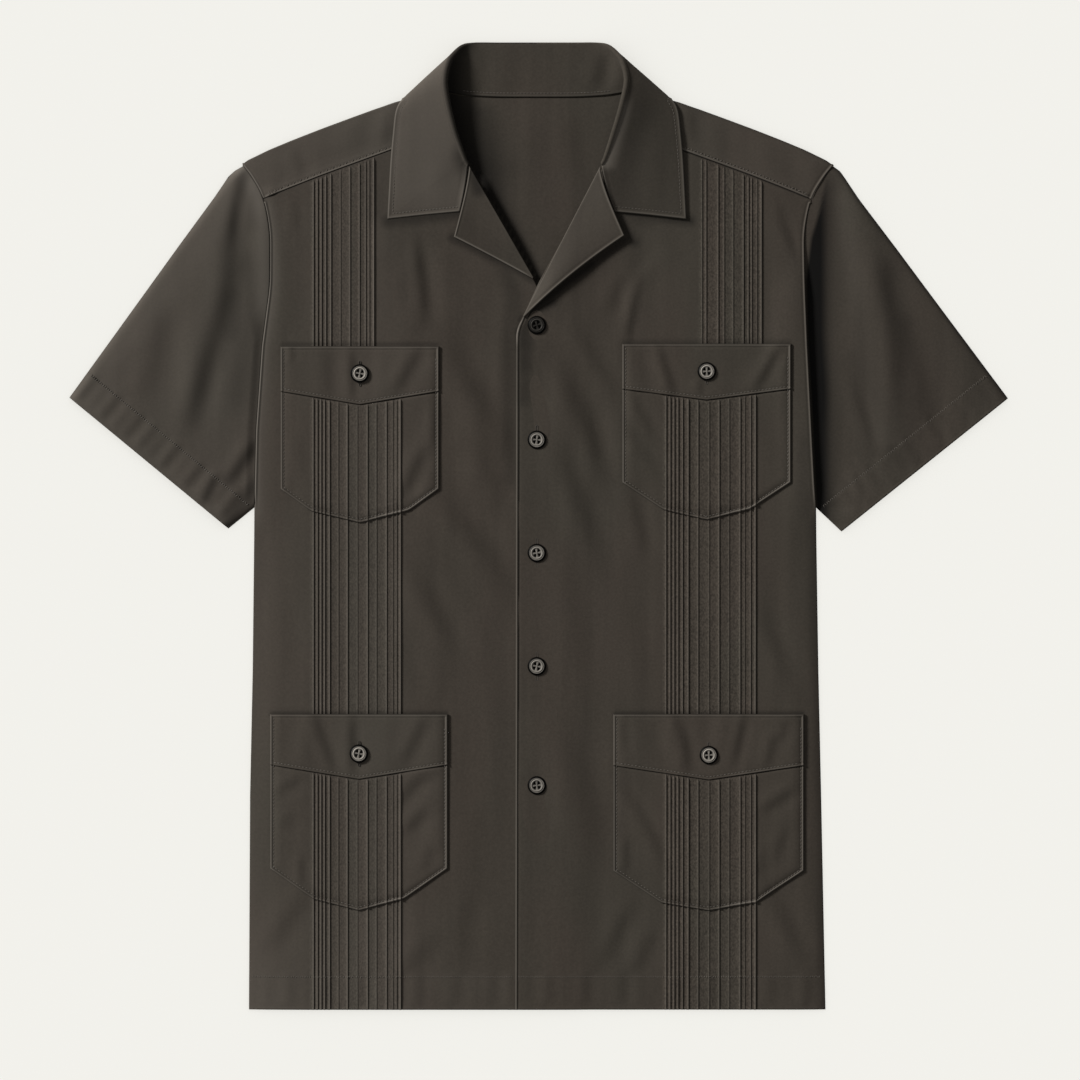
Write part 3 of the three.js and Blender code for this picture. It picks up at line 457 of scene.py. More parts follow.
def edge_x(side, y):
    """x of the side seam or armhole at height y: the mean of the line through the rows of SIDE
    over seven places up to 9 mm above and below, which rounds its corners."""
    reach = 9 * ease((np.asarray(y) - 150) / 40) * ease((301 - np.asarray(y)) / 14)
    row = SIDE[:, 1 if side < 0 else 2]
    return sum(np.interp(y + f * reach, SIDE[:, 0], row) for f in np.linspace(-1, 1, 7)) / 7


def armhole_lift(side, x, y):
    """How far the body's cloth stands up at the armhole, where the sleeve's seam is under it."""
    tall, run = (1.7, 24) if side < 0 else (0.5 + 2.9 * ease((238 - y) / 50), 19)
    return tall * hump((edge_x(side, y) - x) / run) * ease((y + 20) / 60) * ease((303 - y) / 30)


def out(x):
    """Distance from the centre line."""
    return np.abs(x - CENTRE_X)


def crest_y(x):
    return np.interp(out(x), SHOULDER[:, 0], SHOULDER[:, 1])


def seam_y(x):
    return np.interp(out(x), SHOULDER[:, 0], SHOULDER[:, 2])


def lean(y):
    return np.interp(y, LEAN[:, 0], LEAN[:, 1])


def front_edge_x(side, y):
    """x of the front edge: past the centre line below the roll, along the neck above it."""
    past = np.interp(y, FRONT_EDGE[:, 0], FRONT_EDGE[:, 1])
    return CENTRE_X - side * past + lean(y) * ease((LEAN_TOP - y) / 12)


def creases(x, y, table):
    """Sum of soft creases. Across its line each is an odd wave, -1.65 s e^(-s^2/2) with s the
    distance over the width, so it is steepest on the line; it dies away past both ends."""
    z = np.zeros(np.broadcast(x, y).shape)
    for x0, y0, x1, y1, width, depth, bend in table:
        length = math.hypot(x1 - x0, y1 - y0)
        ux, uy = (x1 - x0) / length, (y1 - y0) / length
        nx, ny = uy, -ux
        if nx * LAMP_AWAY[0] + ny * LAMP_AWAY[1] < 0:
            nx, ny = -nx, -ny
        t = ((x - x0) * ux + (y - y0) * uy) / length
        s = ((x - x0) * nx + (y - y0) * ny - bend * 4 * t * (1 - t)) / width
        fade = ease((t + 0.3) / 0.6) * ease((1.3 - t) / 0.6)
        z -= depth * 1.65 * s * np.exp(-s * s / 2) * fade
    return z * sizes().cloth.crease_depth


WAVES = np.random.default_rng(7).uniform(size=(9, 4))


def ripple(x, y, size=1.0):
    """Slight unevenness: nine sine waves of 34 to 110 mm, mostly along the shirt's length."""
    z = 0
    for a, b, c, d in WAVES:
        run = mix(34, 110, a)
        turn = mix(-0.55, 0.55, b)
        along = x * math.cos(turn) + y * math.sin(turn)
        z = z + mix(0.4, 1, d) * np.sin(along * 2 * math.pi / run + 6.28 * c)
    return z * 0.045 * size


def hem_ripple(s, depth, reach, size=0.28):
    """Puckers of a turned hem: sine waves along it, fading over the hem's depth."""
    wave = np.sin(s / 3.1) * np.sin(s / 11.7 + 1.3)
    wave = wave + 0.6 * np.sin(s / 5.3 + 0.4) * np.sin(s / 23 + 2.0)
    return size * wave * ease(depth / reach * 3) * ease((1.25 - depth / reach) * 3)


def tuck_x(side, y):
    """x of each tuck's crest at height y, one column for each tuck."""
    t = TUCKS[side]
    return mix(t[:, 0], t[:, 1], ease((np.asarray(y)[..., None] - TUCK_TOP_Y) / TUCK_SHIFT))


def tuck_gaps(side, y):
    """Room on the left and on the right of each crest."""
    at = tuck_x(side, y)
    gap = np.diff(at, axis=-1)
    first = np.full(gap[..., :1].shape, 4.0)
    return np.concatenate([first, gap], -1), np.concatenate([gap, first], -1)


def tuck_lines(crest, before, after):
    """Grid lines round each crest: on its rising flank, at the crest and on its falling flank."""
    return ([crest - np.minimum(a, 0.36 * a * before) for a in TUCK_LEFT] + [crest]
            + [crest + np.minimum(a, 0.32 * a * after) for a in TUCK_RIGHT])


def tuck_heights(side, y):
    """Height of each tuck at height y on the shirt, as a share of TUCK_H."""
    t = TUCKS[side]
    return mix(t[:, 2], t[:, 3], ease((np.asarray(y)[..., None] - 40) / 60))


def tuck_relief(side, x, y):
    """Height of the tucks: each rises gently to its crest and drops sharply on its right."""
    at = tuck_x(side, y)
    before, after = tuck_gaps(side, y)
    tall = tuck_heights(side, y) * TUCK_H
    dx = np.asarray(x)[..., None] - at
    rise = ease(1 + dx / np.minimum(1.7, 0.61 * before))
    drop = ease(1 - dx / np.minimum(0.45, 0.14 * after))
    return np.sum(tall * np.where(dx < 0, rise, drop), -1)


def tuck_marks(side, x, y):
    """Painted highlight on the crest of each tuck and painted shade on the floor just right of it.
    """
    at = tuck_x(side, y)
    tall = np.minimum(1.2, tuck_heights(side, y))
    dx = np.asarray(x)[..., None] - at
    return np.max(tall * hump((dx + 0.2) / 0.4), -1), np.max(tall * hump((dx - 0.5) / 0.35), -1)


def strip_warmth(side, x, y):
    """The strips between tucks lean to the warm or the cool tone of the cloth in turn."""
    place = np.sum(np.asarray(x)[..., None] > tuck_x(side, y), -1)
    table = np.array(STRIPS[side])
    return table[np.clip(place, 0, len(table) - 1)]


def front_surface(side, x, y):
    """Middle of a front's wall: low at the side seam, full inside, higher on the lap and
    lifted at the armhole, with that front's creases."""
    inward = np.abs(edge_x(side, y) - x)
    full = ease(inward / 26)
    z = FRONT_Z + FRONT_FULL * full - 0.5 * ease((HEM_Y + 30 - y) / 30) * full
    z = z - 0.9 * np.exp(-inward / 4.5) * ease((40 - y) / 40)
    if side < 0:
        z = z + 1.3 * ease(inward / 48)
    z = z + armhole_lift(side, x, y)
    z = z + 0.5 * hump((out(x) - 78) / 13) * hump((y - 190) / 36)
    z = z - 0.4 * hump((out(x) - 97) / 9) * hump((y - 202) / 36)
    if side > 0:
        z = z + 1.4 * ease((52 - (x - CENTRE_X)) / 33)
    inside = ease(inward / 10) * ease((seam_y(x) - y + 2) / 12)
    table = RIGHT_FRONT_CREASES if side < 0 else LEFT_FRONT_CREASES
    return z + inside * (creases(x, y, table) + ripple(x, y)) + button_dents(x, y) * (side > 0)


def button_dents(x, y):
    """The placket is drawn down round each button and along its buttonhole."""
    z = 0
    for at in FRONT_BUTTONS:
        z = z - 0.35 * hump((x - CENTRE_X) / 7) * hump((y - at) / 11)
    return z


def back_surface(x, y):
    """Middle of the back's wall: flat, raised over the folded part of the collar."""
    return BACK_Z + 1.75 * ease((y - 283) / 60) * ease((128 - out(x)) / 9)


def path_distance(x, y, path):
    """Least distance from points to a line of straight pieces, and the length along it there."""
    best = np.full(np.shape(x), 1e9)
    where = np.zeros(np.shape(x))
    done = 0.0
    for (ax, ay), (bx, by) in zip(path[:-1], path[1:]):
        length = math.hypot(bx - ax, by - ay)
        if length < 1e-9:
            continue
        t = np.clip(((x - ax) * (bx - ax) + (y - ay) * (by - ay)) / length**2, 0, 1)
        d = np.hypot(x - ax - t * (bx - ax), y - ay - t * (by - ay))
        where = np.where(d < best, done + t * length, where)
        best = np.minimum(best, d)
        done += length
    return best, where


def distance(x, y, path):
    """Least distance from points to a line of straight pieces."""
    return path_distance(x, y, path)[0]


def shade(x, y, line, run):
    """1 on a line, fading to 0 over a run on both sides."""
    return 1 - ease(distance(x, y, line) / run)


def rolled(d, ridge, crest, groove, width=0.8, inset=3.6):
    """Relief of a sewn edge: a round ridge crest mm in, and a groove under the stitches."""
    return ridge * hump((d - crest) / width) - groove * hump((d - inset) / 0.9)


def rim(d, wall=WALL, radius=0.8):
    """How far the face of a wall drops at its edge, as a quarter circle down to mid wall."""
    t = np.clip(1 - d / radius, 0, 1)
    return wall / 2 * (1 - np.sqrt(1 - t * t * 0.998))


ARMHOLE_ROLL = dict(ridge=0.4, crest=0.9, width=0.7, groove=0.2, inset=2.4)

# Grid lines next to a sewn edge, mm from it.
NEAR = np.array((0, 0.12, 0.35, 0.65, 1.0, 1.45, 2.0, 2.7, 3.3, 3.9, 4.6, 5.8))


def spread(length, step, start=True, end=True):
    """Places from 0 to 1 along a length: close together at the sewn ends, step apart between."""
    a = NEAR if start else np.array((0.0,))
    b = NEAR if end else np.array((0.0,))
    count = max(3, round((length - a[-1] - b[-1]) / step)) + 1
    inner = np.linspace(a[-1], length - b[-1], count)[1:-1]
    return np.concatenate([a, inner, (length - b)[::-1]]) / length


# ---------------------------------------------------------------- meshes
def make_object(name, points, faces, material, attributes=None):
    """Puts arrays of points (mm) and faces (lists of index arrays) into a mesh and an object."""
    mesh = bpy.data.meshes.new(name)
    counts = np.concatenate([np.full(len(f), f.shape[1]) for f in faces])
    loops = np.concatenate([f.ravel() for f in faces])
    mesh.vertices.add(len(points))
    mesh.vertices.foreach_set("co", (np.asarray(points) * MM).astype(np.float32).ravel())
    mesh.loops.add(len(loops))
    mesh.loops.foreach_set("vertex_index", loops.astype(np.int32))
    mesh.polygons.add(len(counts))
    starts = np.concatenate([[0], np.cumsum(counts)[:-1]])
    mesh.polygons.foreach_set("loop_start", starts.astype(np.int32))
    mesh.update(calc_edges=True)
    mesh.validate()
    mesh.shade_smooth()
    mesh.set_sharp_from_angle(angle=math.radians(52))
    for key, values in (attributes or {}).items():
        layer = mesh.attributes.new(key, "FLOAT", "POINT")
        layer.data.foreach_set("value", np.asarray(values, np.float32).ravel())
    mesh.materials.append(material)
    obj = bpy.data.objects.new(name, mesh)
    shirt_pieces().objects.link(obj)
    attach(obj, BODY)
    return obj


def grid_faces(index):
    """Quads of a grid of vertex numbers, facing the first direction crossed with the second."""
    corners = (index[:-1, :-1], index[1:, :-1], index[1:, 1:], index[:-1, 1:])
    return np.stack(corners, -1).reshape(-1, 4)


def wrapped_numbers(n, m):
    """Numbers of the points of an n x m grid, with its first column again at the end."""
    index = np.arange(n * m).reshape(n, m)
    return np.concatenate([index, index[:, :1]], 1)


def ring_of(index):
    """The border of a grid of vertex numbers, once round."""
    return np.concatenate([index[:-1, 0], index[-1, :-1], index[:0:-1, -1], index[0, :0:-1]])


def thin_sheet(top, base, step):
    """Closed thin sheet: the fine grid of its face, and a coarse grid below whose border is
    zipped by triangles to the border of the face. base is the height of the underside."""
    n, m = top.shape[:2]
    face = np.arange(n * m).reshape(n, m)
    rows = np.unique(np.concatenate([np.arange(2, n - 2, step), [n - 3]]))
    cols = np.unique(np.concatenate([np.arange(2, m - 2, step), [m - 3]]))
    low = top[np.ix_(rows, cols)].copy()
    low[..., 2] = base[np.ix_(rows, cols)]
    under = n * m + np.arange(low.shape[0] * low.shape[1]).reshape(low.shape[:2])
    nearest_row = np.abs(np.arange(n)[:, None] - rows).argmin(1)
    nearest_col = np.abs(np.arange(m)[:, None] - cols).argmin(1)
    last_r, last_c = len(rows) - 1, len(cols) - 1
    to_low = np.concatenate([
        under[nearest_row[:-1], 0], under[last_r, nearest_col[:-1]],
        under[nearest_row[:0:-1], last_c], under[0, nearest_col[:0:-1]],
    ])
    fine = ring_of(face)
    fine_next, low_next = np.roll(fine, -1), np.roll(to_low, -1)
    moves = to_low != low_next
    strips = [
        np.stack([fine_next, fine, to_low], -1),
        np.stack([fine_next, to_low, low_next], -1)[moves],
    ]
    points = np.concatenate([top.reshape(-1, 3), low.reshape(-1, 3)])
    return points, [grid_faces(face), grid_faces(under)[:, ::-1], *strips], low.shape[:2]


def add_sheet(name, top, base, marks, step=5, flip=False):
    """A thin sheet of cloth, with its marks kept on the points of its face."""
    if flip:
        top, base = top[::-1], base[::-1]
        marks = {k: v[::-1] for k, v in marks.items()}
    points, faces, low = thin_sheet(top, base, step)
    extra = np.zeros(low[0] * low[1])
    marks = {k: np.concatenate([np.asarray(v).ravel(), extra]) for k, v in marks.items()}
    return make_object(name, points, faces, cloth_material("shirting"), marks)


def normals_of(grid):
    """Unit normals of a grid of points, from the central differences along both directions."""
    a = np.gradient(grid, axis=0)
    b = np.gradient(grid, axis=1)
    n = np.cross(a, b)
    return n / np.maximum(np.linalg.norm(n, axis=-1, keepdims=True), 1e-9)


def double_sheet(outer, inner, keep=None):
    """Closed wall between two grids of the same size; keep says which cells are cloth."""
    n, m = outer.shape[:2]
    keep = np.ones((n - 1, m - 1), bool) if keep is None else keep
    index = np.arange(n * m).reshape(n, m)
    up = grid_faces(index)[keep.ravel()]
    down = grid_faces(index)[keep.ravel()][:, ::-1] + n * m
    padded = np.pad(keep, 1)
    walls = []
    edges = [
        (index[:-1, :-1], index[1:, :-1], padded[1:-1, :-2]),
        (index[1:, :-1], index[1:, 1:], padded[2:, 1:-1]),
        (index[1:, 1:], index[:-1, 1:], padded[1:-1, 2:]),
        (index[:-1, 1:], index[:-1, :-1], padded[:-2, 1:-1]),
    ]
    for a, b, neighbour in edges:
        on = keep & ~neighbour
        a, b = a[on], b[on]
        walls.append(np.stack([b, a, a + n * m, b + n * m], -1))
    points = np.concatenate([outer.reshape(-1, 3), inner.reshape(-1, 3)])
    faces = [up, down, *walls]
    used = np.zeros(len(points), bool)
    for f in faces:
        used[f.ravel()] = True
    renumbered = np.cumsum(used) - 1
    return points[used], [renumbered[f] for f in faces], used


def tube_along(paths, radius, sides):
    """Tubes of one radius along many paths of the same number of points (k x p x 3), with the
    ends drawn in to half the radius."""
    k, p = paths.shape[:2]
    ahead = np.gradient(paths, axis=1)
    ahead /= np.maximum(np.linalg.norm(ahead, axis=-1, keepdims=True), 1e-9)
    across = np.cross(ahead, (0.0, 0.0, 1.0))
    across /= np.maximum(np.linalg.norm(across, axis=-1, keepdims=True), 1e-9)
    over = np.cross(across, ahead)
    angle = np.linspace(0, 2 * math.pi, sides, endpoint=False)
    size = np.full(p, radius)
    size[[0, -1]] *= 0.5
    size = size[None, :, None, None]
    c, s = np.cos(angle)[:, None], np.sin(angle)[:, None]
    ring = across[:, :, None] * c + over[:, :, None] * s
    points = (paths[:, :, None] + ring * size).reshape(-1, 3)
    index = np.arange(k * p * sides).reshape(k, p, sides)
    a, b = index[:, :-1], index[:, 1:]
    quads = np.stack([a, np.roll(a, -1, 2), np.roll(b, -1, 2), b], -1).reshape(-1, 4)
    return points, [quads, index[:, 0, ::-1], index[:, -1]]


# ---------------------------------------------------------------- materials
class Graph:
    """A new material, and short ways to add nodes to its tree."""

    def __init__(self, name):
        self.material = bpy.data.materials.new(name)
        self.material.use_nodes = True
        self.tree = self.material.node_tree
        self.shader = self.tree.nodes["Principled BSDF"]

    def feed(self, node, inputs):
        """Links each named input of a node to an output, or gives it a value."""
        for key, value in inputs.items():
            socket = node.inputs[key]
            if isinstance(value, bpy.types.NodeSocket):
                self.tree.links.new(value, socket)
            elif socket.type == "RGBA":
                socket.default_value = (*value, 1)
            else:
                socket.default_value = value

    def node(self, kind, inputs=None, **fields):
        node = self.tree.nodes.new("ShaderNode" + kind)
        for key, value in fields.items():
            setattr(node, key, value)
        self.feed(node, inputs or {})
        return node

    def place(self):
        """Object coordinates."""
        return self.node("TexCoord").outputs["Object"]

    def mark(self, name):
        """The value that a mesh carries under this name at each point."""
        return self.node("Attribute", attribute_name=name).outputs["Fac"]

    def noise(self, vector, scale, detail=2.0, stretch=(1, 1, 1)):
        """Noise texture, stretched along the axes."""
        mapping = self.node("Mapping", {"Scale": stretch, "Vector": vector})
        values = {"Scale": scale, "Detail": detail, "Vector": mapping.outputs["Vector"]}
        return self.node("TexNoise", values).outputs["Fac"]

    def ranged(self, value, low, high, to_low, to_high):
        """low..high of a value becomes to_low..to_high."""
        ends = {"From Min": low, "From Max": high, "To Min": to_low, "To Max": to_high}
        return self.node("MapRange", {**ends, "Value": value}).outputs["Result"]

    def maths(self, operation, a, b):
        return self.node("Math", {0: a, 1: b}, operation=operation).outputs["Value"]

    def blended(self, factor, a, b, kind="MIX"):
        """Blend of two colours, each an output or a tuple."""
        values = {0: factor, 6: a, 7: b}
        return self.node("Mix", values, data_type="RGBA", blend_type=kind).outputs[2]

    def bump(self, height, strength, distance):
        values = {"Strength": strength, "Distance": distance, "Height": height}
        self.feed(self.shader, {"Normal": self.node("Bump", values).outputs["Normal"]})

    def finish(self, colour, roughness, specular, **others):
        """Sets the shader's inputs and gives back the material."""
        self.feed(self.shader, {"Base Color": colour, "Roughness": roughness,
                                "Specular IOR Level": specular})
        self.feed(self.shader, {key.replace("_", " ").title(): v for key, v in others.items()})
        return self.material


def once(build):
    """Makes a material the first time that it is asked for, and finds it again after that."""
    @functools.wraps(build)
    def get(name, *values):
        return bpy.data.materials.get(name) or build(Graph(name), *values)
    return get


@once
def cloth_material(g):
    """Brushed cotton: warm and cool patches, streaks along the warp, slubs, a fine weave in the
    bump, and, from the marks on the points, rubbed edges with painted light and highlights, and
    painted shade in hollows, grooves and where shadows fall."""
    cloth = sizes().cloth
    where = g.place()
    patches = g.ranged(g.noise(where, 6.5, 1.5, (1.6, 0.8, 1)), 0.40, 0.60, 0, 1)
    patches = g.maths("ADD", patches, g.mark("warm"))
    colour = g.blended(patches, tuple(cloth.olive), tuple(cloth.umber))
    streak = g.ranged(g.noise(where, 90, 3, (1, 0.08, 1)), 0.3, 0.7, 0.93, 1.07)
    slub = g.ranged(g.noise(where, 520, 3), 0.3, 0.7, 0.90, 1.10)
    pleated = g.mark("grain")
    knot = g.ranged(g.noise(where, 950, 2, (1, 0.6, 1)), 0.3, 0.7, -0.36, 0.36)
    knot = g.maths("ADD", g.maths("MULTIPLY", knot, pleated), 1.0)
    grain = g.maths("MULTIPLY", g.maths("MULTIPLY", streak, slub), knot)
    grey = g.node("CombineColor", {"Red": grain, "Green": grain, "Blue": grain})
    colour = g.blended(1.0, colour, grey.outputs["Color"], "MULTIPLY")
    # Marks lighten the cloth towards the rubbed tone for wear and painted light, then darken it for
    # painted shade.
    colour = g.blended(g.mark("wear_and_painted_light"), colour, tuple(cloth.rubbed_and_painted_light))
    colour = g.blended(g.mark("painted_shade"), colour, CLOTH_PAINTED_SHADE)
    warp, weft = (
        g.node("TexWave", {"Scale": scale, "Distortion": 1.5, "Detail": 1.0, "Vector": where},
               bands_direction=axis).outputs["Fac"]
        for axis, scale in (("X", 430), ("Y", 360)))
    weave = g.maths("MULTIPLY", warp, weft)
    g.bump(g.maths("ADD", weave, g.maths("MULTIPLY", slub, 0.8)), 0.35, 0.00012)
    return g.finish(colour, 0.88, 0.12, sheen_weight=0.035, sheen_roughness=0.45,
                    sheen_tint=(0.95, 0.9, 0.84))


@once
def thread_material(g, shade=1.0):
    """Twisted thread near the tone of the cloth, darkened by a shade."""
    tone = g.ranged(g.noise(g.place(), 900, 2), 0.3, 0.7, 0, 1)
    dark = tuple(shade * c for c in sizes().cloth.thread)
    return g.finish(g.blended(tone, dark, tuple(c * 1.7 for c in dark)), 0.6, 0.3)


@once
def button_material(g):
    """Horn-like resin: clouded grey-brown, with painted shade in the holes and on the bevel and a
    painted highlight on the inner ring.
    """
    where = g.place()
    face = tuple(sizes().buttons.colour)
    cloud = g.ranged(g.noise(where, 160, 4, (1, 2.2, 1)), 0.35, 0.65, 0, 1)
    colour = g.blended(cloud, tuple(c * 0.78 for c in face), tuple(c * 1.12 for c in face))
    # Painted shade darkens the button, then a painted highlight lightens its inner ring.
    colour = g.blended(g.mark("painted_shade"), colour, BUTTON_PAINTED_SHADE)
    colour = g.blended(g.mark("ring"), colour, tuple(min(1, c * 2.2) for c in face))
    g.bump(g.noise(where, 2200, 2), 0.12, 0.0001)
    return g.finish(colour, 0.48, 0.06)


@once
def floor_material(g):
    """Matt and pale."""
    return g.finish(tuple(sizes().light.floor), 1.0, 0.0)


# ---------------------------------------------------------------- fronts
def front_columns(side):
    """A function that gives x of every column of a front at heights y (rows x columns): side or
    front edge on the left, six columns to each tuck with one more in a wide gap, other edge."""
    def anchors(y):
        crest = tuck_x(side, y)
        tucks = np.stack(tuck_lines(crest, *tuck_gaps(side, y)), -1).reshape(len(y), -1)
        ends = (edge_x(side, y), front_edge_x(side, y))
        left, right = ends if side < 0 else ends[::-1]
        return left, tucks, right

    left, tucks, right = anchors(np.linspace(HEM_Y, 290, 40))
    first = spread(np.mean(tucks[:, 0] - left), 2.3, end=False)[None, :-1]
    last = spread(np.mean(right - tucks[:, -1]), 2.3, start=False)[None, 1:]
    wide = np.where(np.mean(np.diff(tucks, axis=1), 0) > 2.0)[0]

    def columns(y):
        left, tucks, right = anchors(np.asarray(y))
        mids = (tucks[:, wide] + tucks[:, wide + 1]) / 2
        a, b = tucks[:, 0], tucks[:, -1]
        tucks = np.sort(np.concatenate([tucks, mids], 1), 1)
        return np.concatenate([left[:, None] + (a - left)[:, None] * first, tucks,
                               b[:, None] + (right - b)[:, None] * last], 1)

    return columns


def front_grid(side):
    """x and y of a front's grid: rows straight across up to the neck, then rows that close
    on the shoulder seam."""
    level = 262  # rows are straight up to here
    columns = front_columns(side)
    rows = HEM_Y + (level - HEM_Y) * spread(level - HEM_Y, 2.9, end=False)
    rise = spread(42, 2.6, start=False)[1:]
    x = columns(rows)
    y = np.repeat(rows[:, None], x.shape[1], 1)
    top_x = columns(np.array([300.0]))[0]
    for _ in range(6):
        top_x = np.diagonal(columns(seam_y(top_x) - SEAM)).copy()
    top_y = seam_y(top_x) - SEAM
    rise_y = level + (top_y[None, :] - level) * rise[:, None]
    rise_x = np.stack([np.diagonal(columns(row)) for row in rise_y])
    return np.concatenate([x, rise_x]).T, np.concatenate([y, rise_y]).T


def front_outline(side):
    """The side, the shoulder seam and the front edge, as one line in plan from hem to hem."""
    ys = np.linspace(HEM_Y, 300, 90)
    top = np.linspace(out(edge_x(side, 272)), NECK_HALF, 24)
    seam = np.stack([CENTRE_X + side * top, seam_y(CENTRE_X + side * top) - SEAM], -1)
    flank = ys[ys < seam[0, 1]]
    edge_ys = np.concatenate([np.linspace(327, 150, 40), np.linspace(140, HEM_Y, 20)])
    return (
        np.stack([edge_x(side, flank), flank], -1), seam,
        np.stack([front_edge_x(side, edge_ys), edge_ys], -1),
    )


def placket_part(side, y):
    """1 where the left front's edge is sewn down as a placket, 0 elsewhere."""
    return ease((212 - y) / 10) * (side > 0)


def armhole_part(y):
    return ease((y - 10) / 20)


def front_relief(side, x, y, to):
    """Tucks, the sewn edges of the placket and the armhole, and the turned hem."""
    relief = tuck_relief(side, x, y) * ease(to.seam / 3)
    edge = 0.6 * hump((to.edge - 1.1) / 0.8) - 0.3 * hump((to.edge - 2.8) / 0.7)
    relief += edge * placket_part(side, y)
    relief += rolled(to.flank, **ARMHOLE_ROLL) * armhole_part(y)
    relief += rolled(to.hem, ridge=0.12, crest=1.2, groove=0.0)
    relief += -0.22 * hump((to.hem - HEM_DEPTH) / 0.9) + 0.12 * ease((HEM_DEPTH + 0.5 - to.hem) / 2)
    relief += hem_ripple(x, to.hem, HEM_DEPTH)
    relief += 0.35 * hump(np.hypot(to.flank, to.seam) / 4)
    return relief


def front_wear_and_painted_light(side, x, y, to, light):
    """How far each point of a front is lightened by wear and painted light: rubbed rolled edges
    with painted highlights, painted highlights on the crests of the tucks, and on the right front
    painted soft light at the side, between the tucks and near the hem."""
    wear_and_painted_light = strongest(0.5 * hump((to.edge - 1.1) / 0.7) * placket_part(side, y),
                     (0.7 if side < 0 else 0.45) * hump((to.flank - 0.9) / 0.7) * armhole_part(y),
                     TUCK_LIGHT[side] * light * ease(to.seam / 3))
    if side < 0:
        wear_and_painted_light = wear_and_painted_light + 0.05 * hump((x + 241) / 26) * ease((120 - y) / 200)
        wear_and_painted_light = wear_and_painted_light + 0.14 * hump((y + 403) / 60) * hump((x + 241) / 60)
        wear_and_painted_light = wear_and_painted_light + 0.045 * ease((-92 - x) / 30) + 0.045 * hump((x + 152) / 38)
        wear_and_painted_light = wear_and_painted_light + 0.05 * hump((x + 120) / 45) * ease((-290 - y) / 40)
        wear_and_painted_light = wear_and_painted_light + 0.05 * hump((x + 50) / 50) * ease((-365 - y) / 12)
        wear_and_painted_light = wear_and_painted_light + 0.28 * hump(to.flank / 7) * ease((y + 10) / 30)
    return wear_and_painted_light


def front_painted_shade(side, x, y, to, dark):
    """How far painted shade darkens each point of a front: beside tucks and seams, under what lies
    over the front, and above the pockets."""
    edge = strongest(0.6 * hump((to.edge - 2.8) / 0.6), 0.6 * hump(to.edge / 0.3))
    flank = strongest(0.35 * hump((to.flank - 2.3) / 0.6), 0.6 * hump(to.flank / 0.35))
    painted_shade = strongest(TUCK_DARK * dark * ease(to.seam / 3),
                     0.55 * hump(to.seam / 0.7) * ease((to.flank - 1) / 3),
                     0.3 * hump((to.hem - HEM_DEPTH) / 0.8),
                     placket_part(side, y) * edge, armhole_part(y) * flank,
                     0.35 * hump(to.hem / 0.5))
    for which, line, run, strength in FRONT_SHADES:
        if which == side:
            painted_shade = np.maximum(painted_shade, strength * shade(x, y, line, run))
    for p in POCKETS:
        over = between(x, p.x0 - 1, p.x1 + 1, 2)
        painted_shade = np.maximum(painted_shade, 0.5 * over * hump((y - p.top - 0.9) / 1.7))
    return painted_shade


def build_front(side):
    """A front: middle surface plus half a wall, tucks and sewn edges, with rounded rims."""
    x, y = front_grid(side)
    flank, seam, edge = (distance(x, y, line) for line in front_outline(side))
    to = Record(flank=flank, seam=seam, edge=edge, hem=y - HEM_Y)
    base = front_surface(side, x, y)
    border = np.minimum(np.minimum(to.flank, to.seam), np.minimum(to.edge, to.hem))
    top = base + WALL / 2 + front_relief(side, x, y, to) - rim(border)
    light, dark = tuck_marks(side, x, y)
    wear_and_painted_light = front_wear_and_painted_light(side, x, y, to, light)
    painted_shade = front_painted_shade(side, x, y, to, dark)
    if side > 0:
        # A painted highlight on the placket's bead near the top button, with the painted shade
        # lifted off it, and painted shade near the side seam at the foot.
        bead_highlight = placket_part(side, y) * hump((to.edge - 1.1) / 0.8) * hump((y - 163) / 13)
        wear_and_painted_light = np.maximum(wear_and_painted_light, np.minimum(1.5 * bead_highlight, 1))
        painted_shade = painted_shade * (1 - np.minimum(1.3 * bead_highlight, 1))
        painted_shade = np.maximum(painted_shade, 0.35 * (1 - ease(to.flank / 10)) * ease((16 - y) / 20))
    # Painted shade along the side seam below the armpit.
    seam = 0.25 if side < 0 else 0.5
    painted_shade = np.maximum(painted_shade, seam * hump(to.flank / 0.9) * ease((16 - y) / 10))
    tucks = tuck_x(side, y)
    grain = between(x, tucks[..., 0] - 3, tucks[..., -1] + 1, 2)
    marks = {"wear_and_painted_light": wear_and_painted_light, "painted_shade": painted_shade, "warm": strip_warmth(side, x, y), "grain": grain}
    obj = add_sheet("cloth_front_" + hand(side), np.stack([x, y, top], -1), base - WALL / 2,
                    marks, step=6)
    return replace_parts(obj, "front_" + hand(side))


# ---------------------------------------------------------------- back and shoulders
def neck_shade(x, y):
    """Painted shade inside the neck, standing in for the shadow of the right-hand roll: strongest
    beside the roll, fading over a run that is widest at the gorge."""
    run = np.interp(y, NECK_SHADE_RUN[:, 0], NECK_SHADE_RUN[:, 1])
    inside = ease((x - np.interp(y, NECK_ROLL[::-1, 1], NECK_ROLL[::-1, 0]) + 6) / 6)
    return 0.86 * shade(x, y, NECK_ROLL, run) * inside


def back_columns():
    """The columns of the back: the side of each, its place from the centre (0) to the end of
    the neck (1), and its place from there (0) to the side seam (1)."""
    outer = np.unique(np.concatenate([spread(145, 3.4), [0, 1]]))
    neck = np.linspace(0, 1, 26)
    arm, half = np.ones(len(outer)), np.ones(len(neck) - 2)
    sides = np.concatenate([-arm, -half, [1], half, arm])
    across = np.concatenate([arm, neck[-2:0:-1], [0], neck[1:-1], arm])
    return sides, across, np.concatenate([outer[::-1], np.zeros(2 * len(neck) - 3), outer])


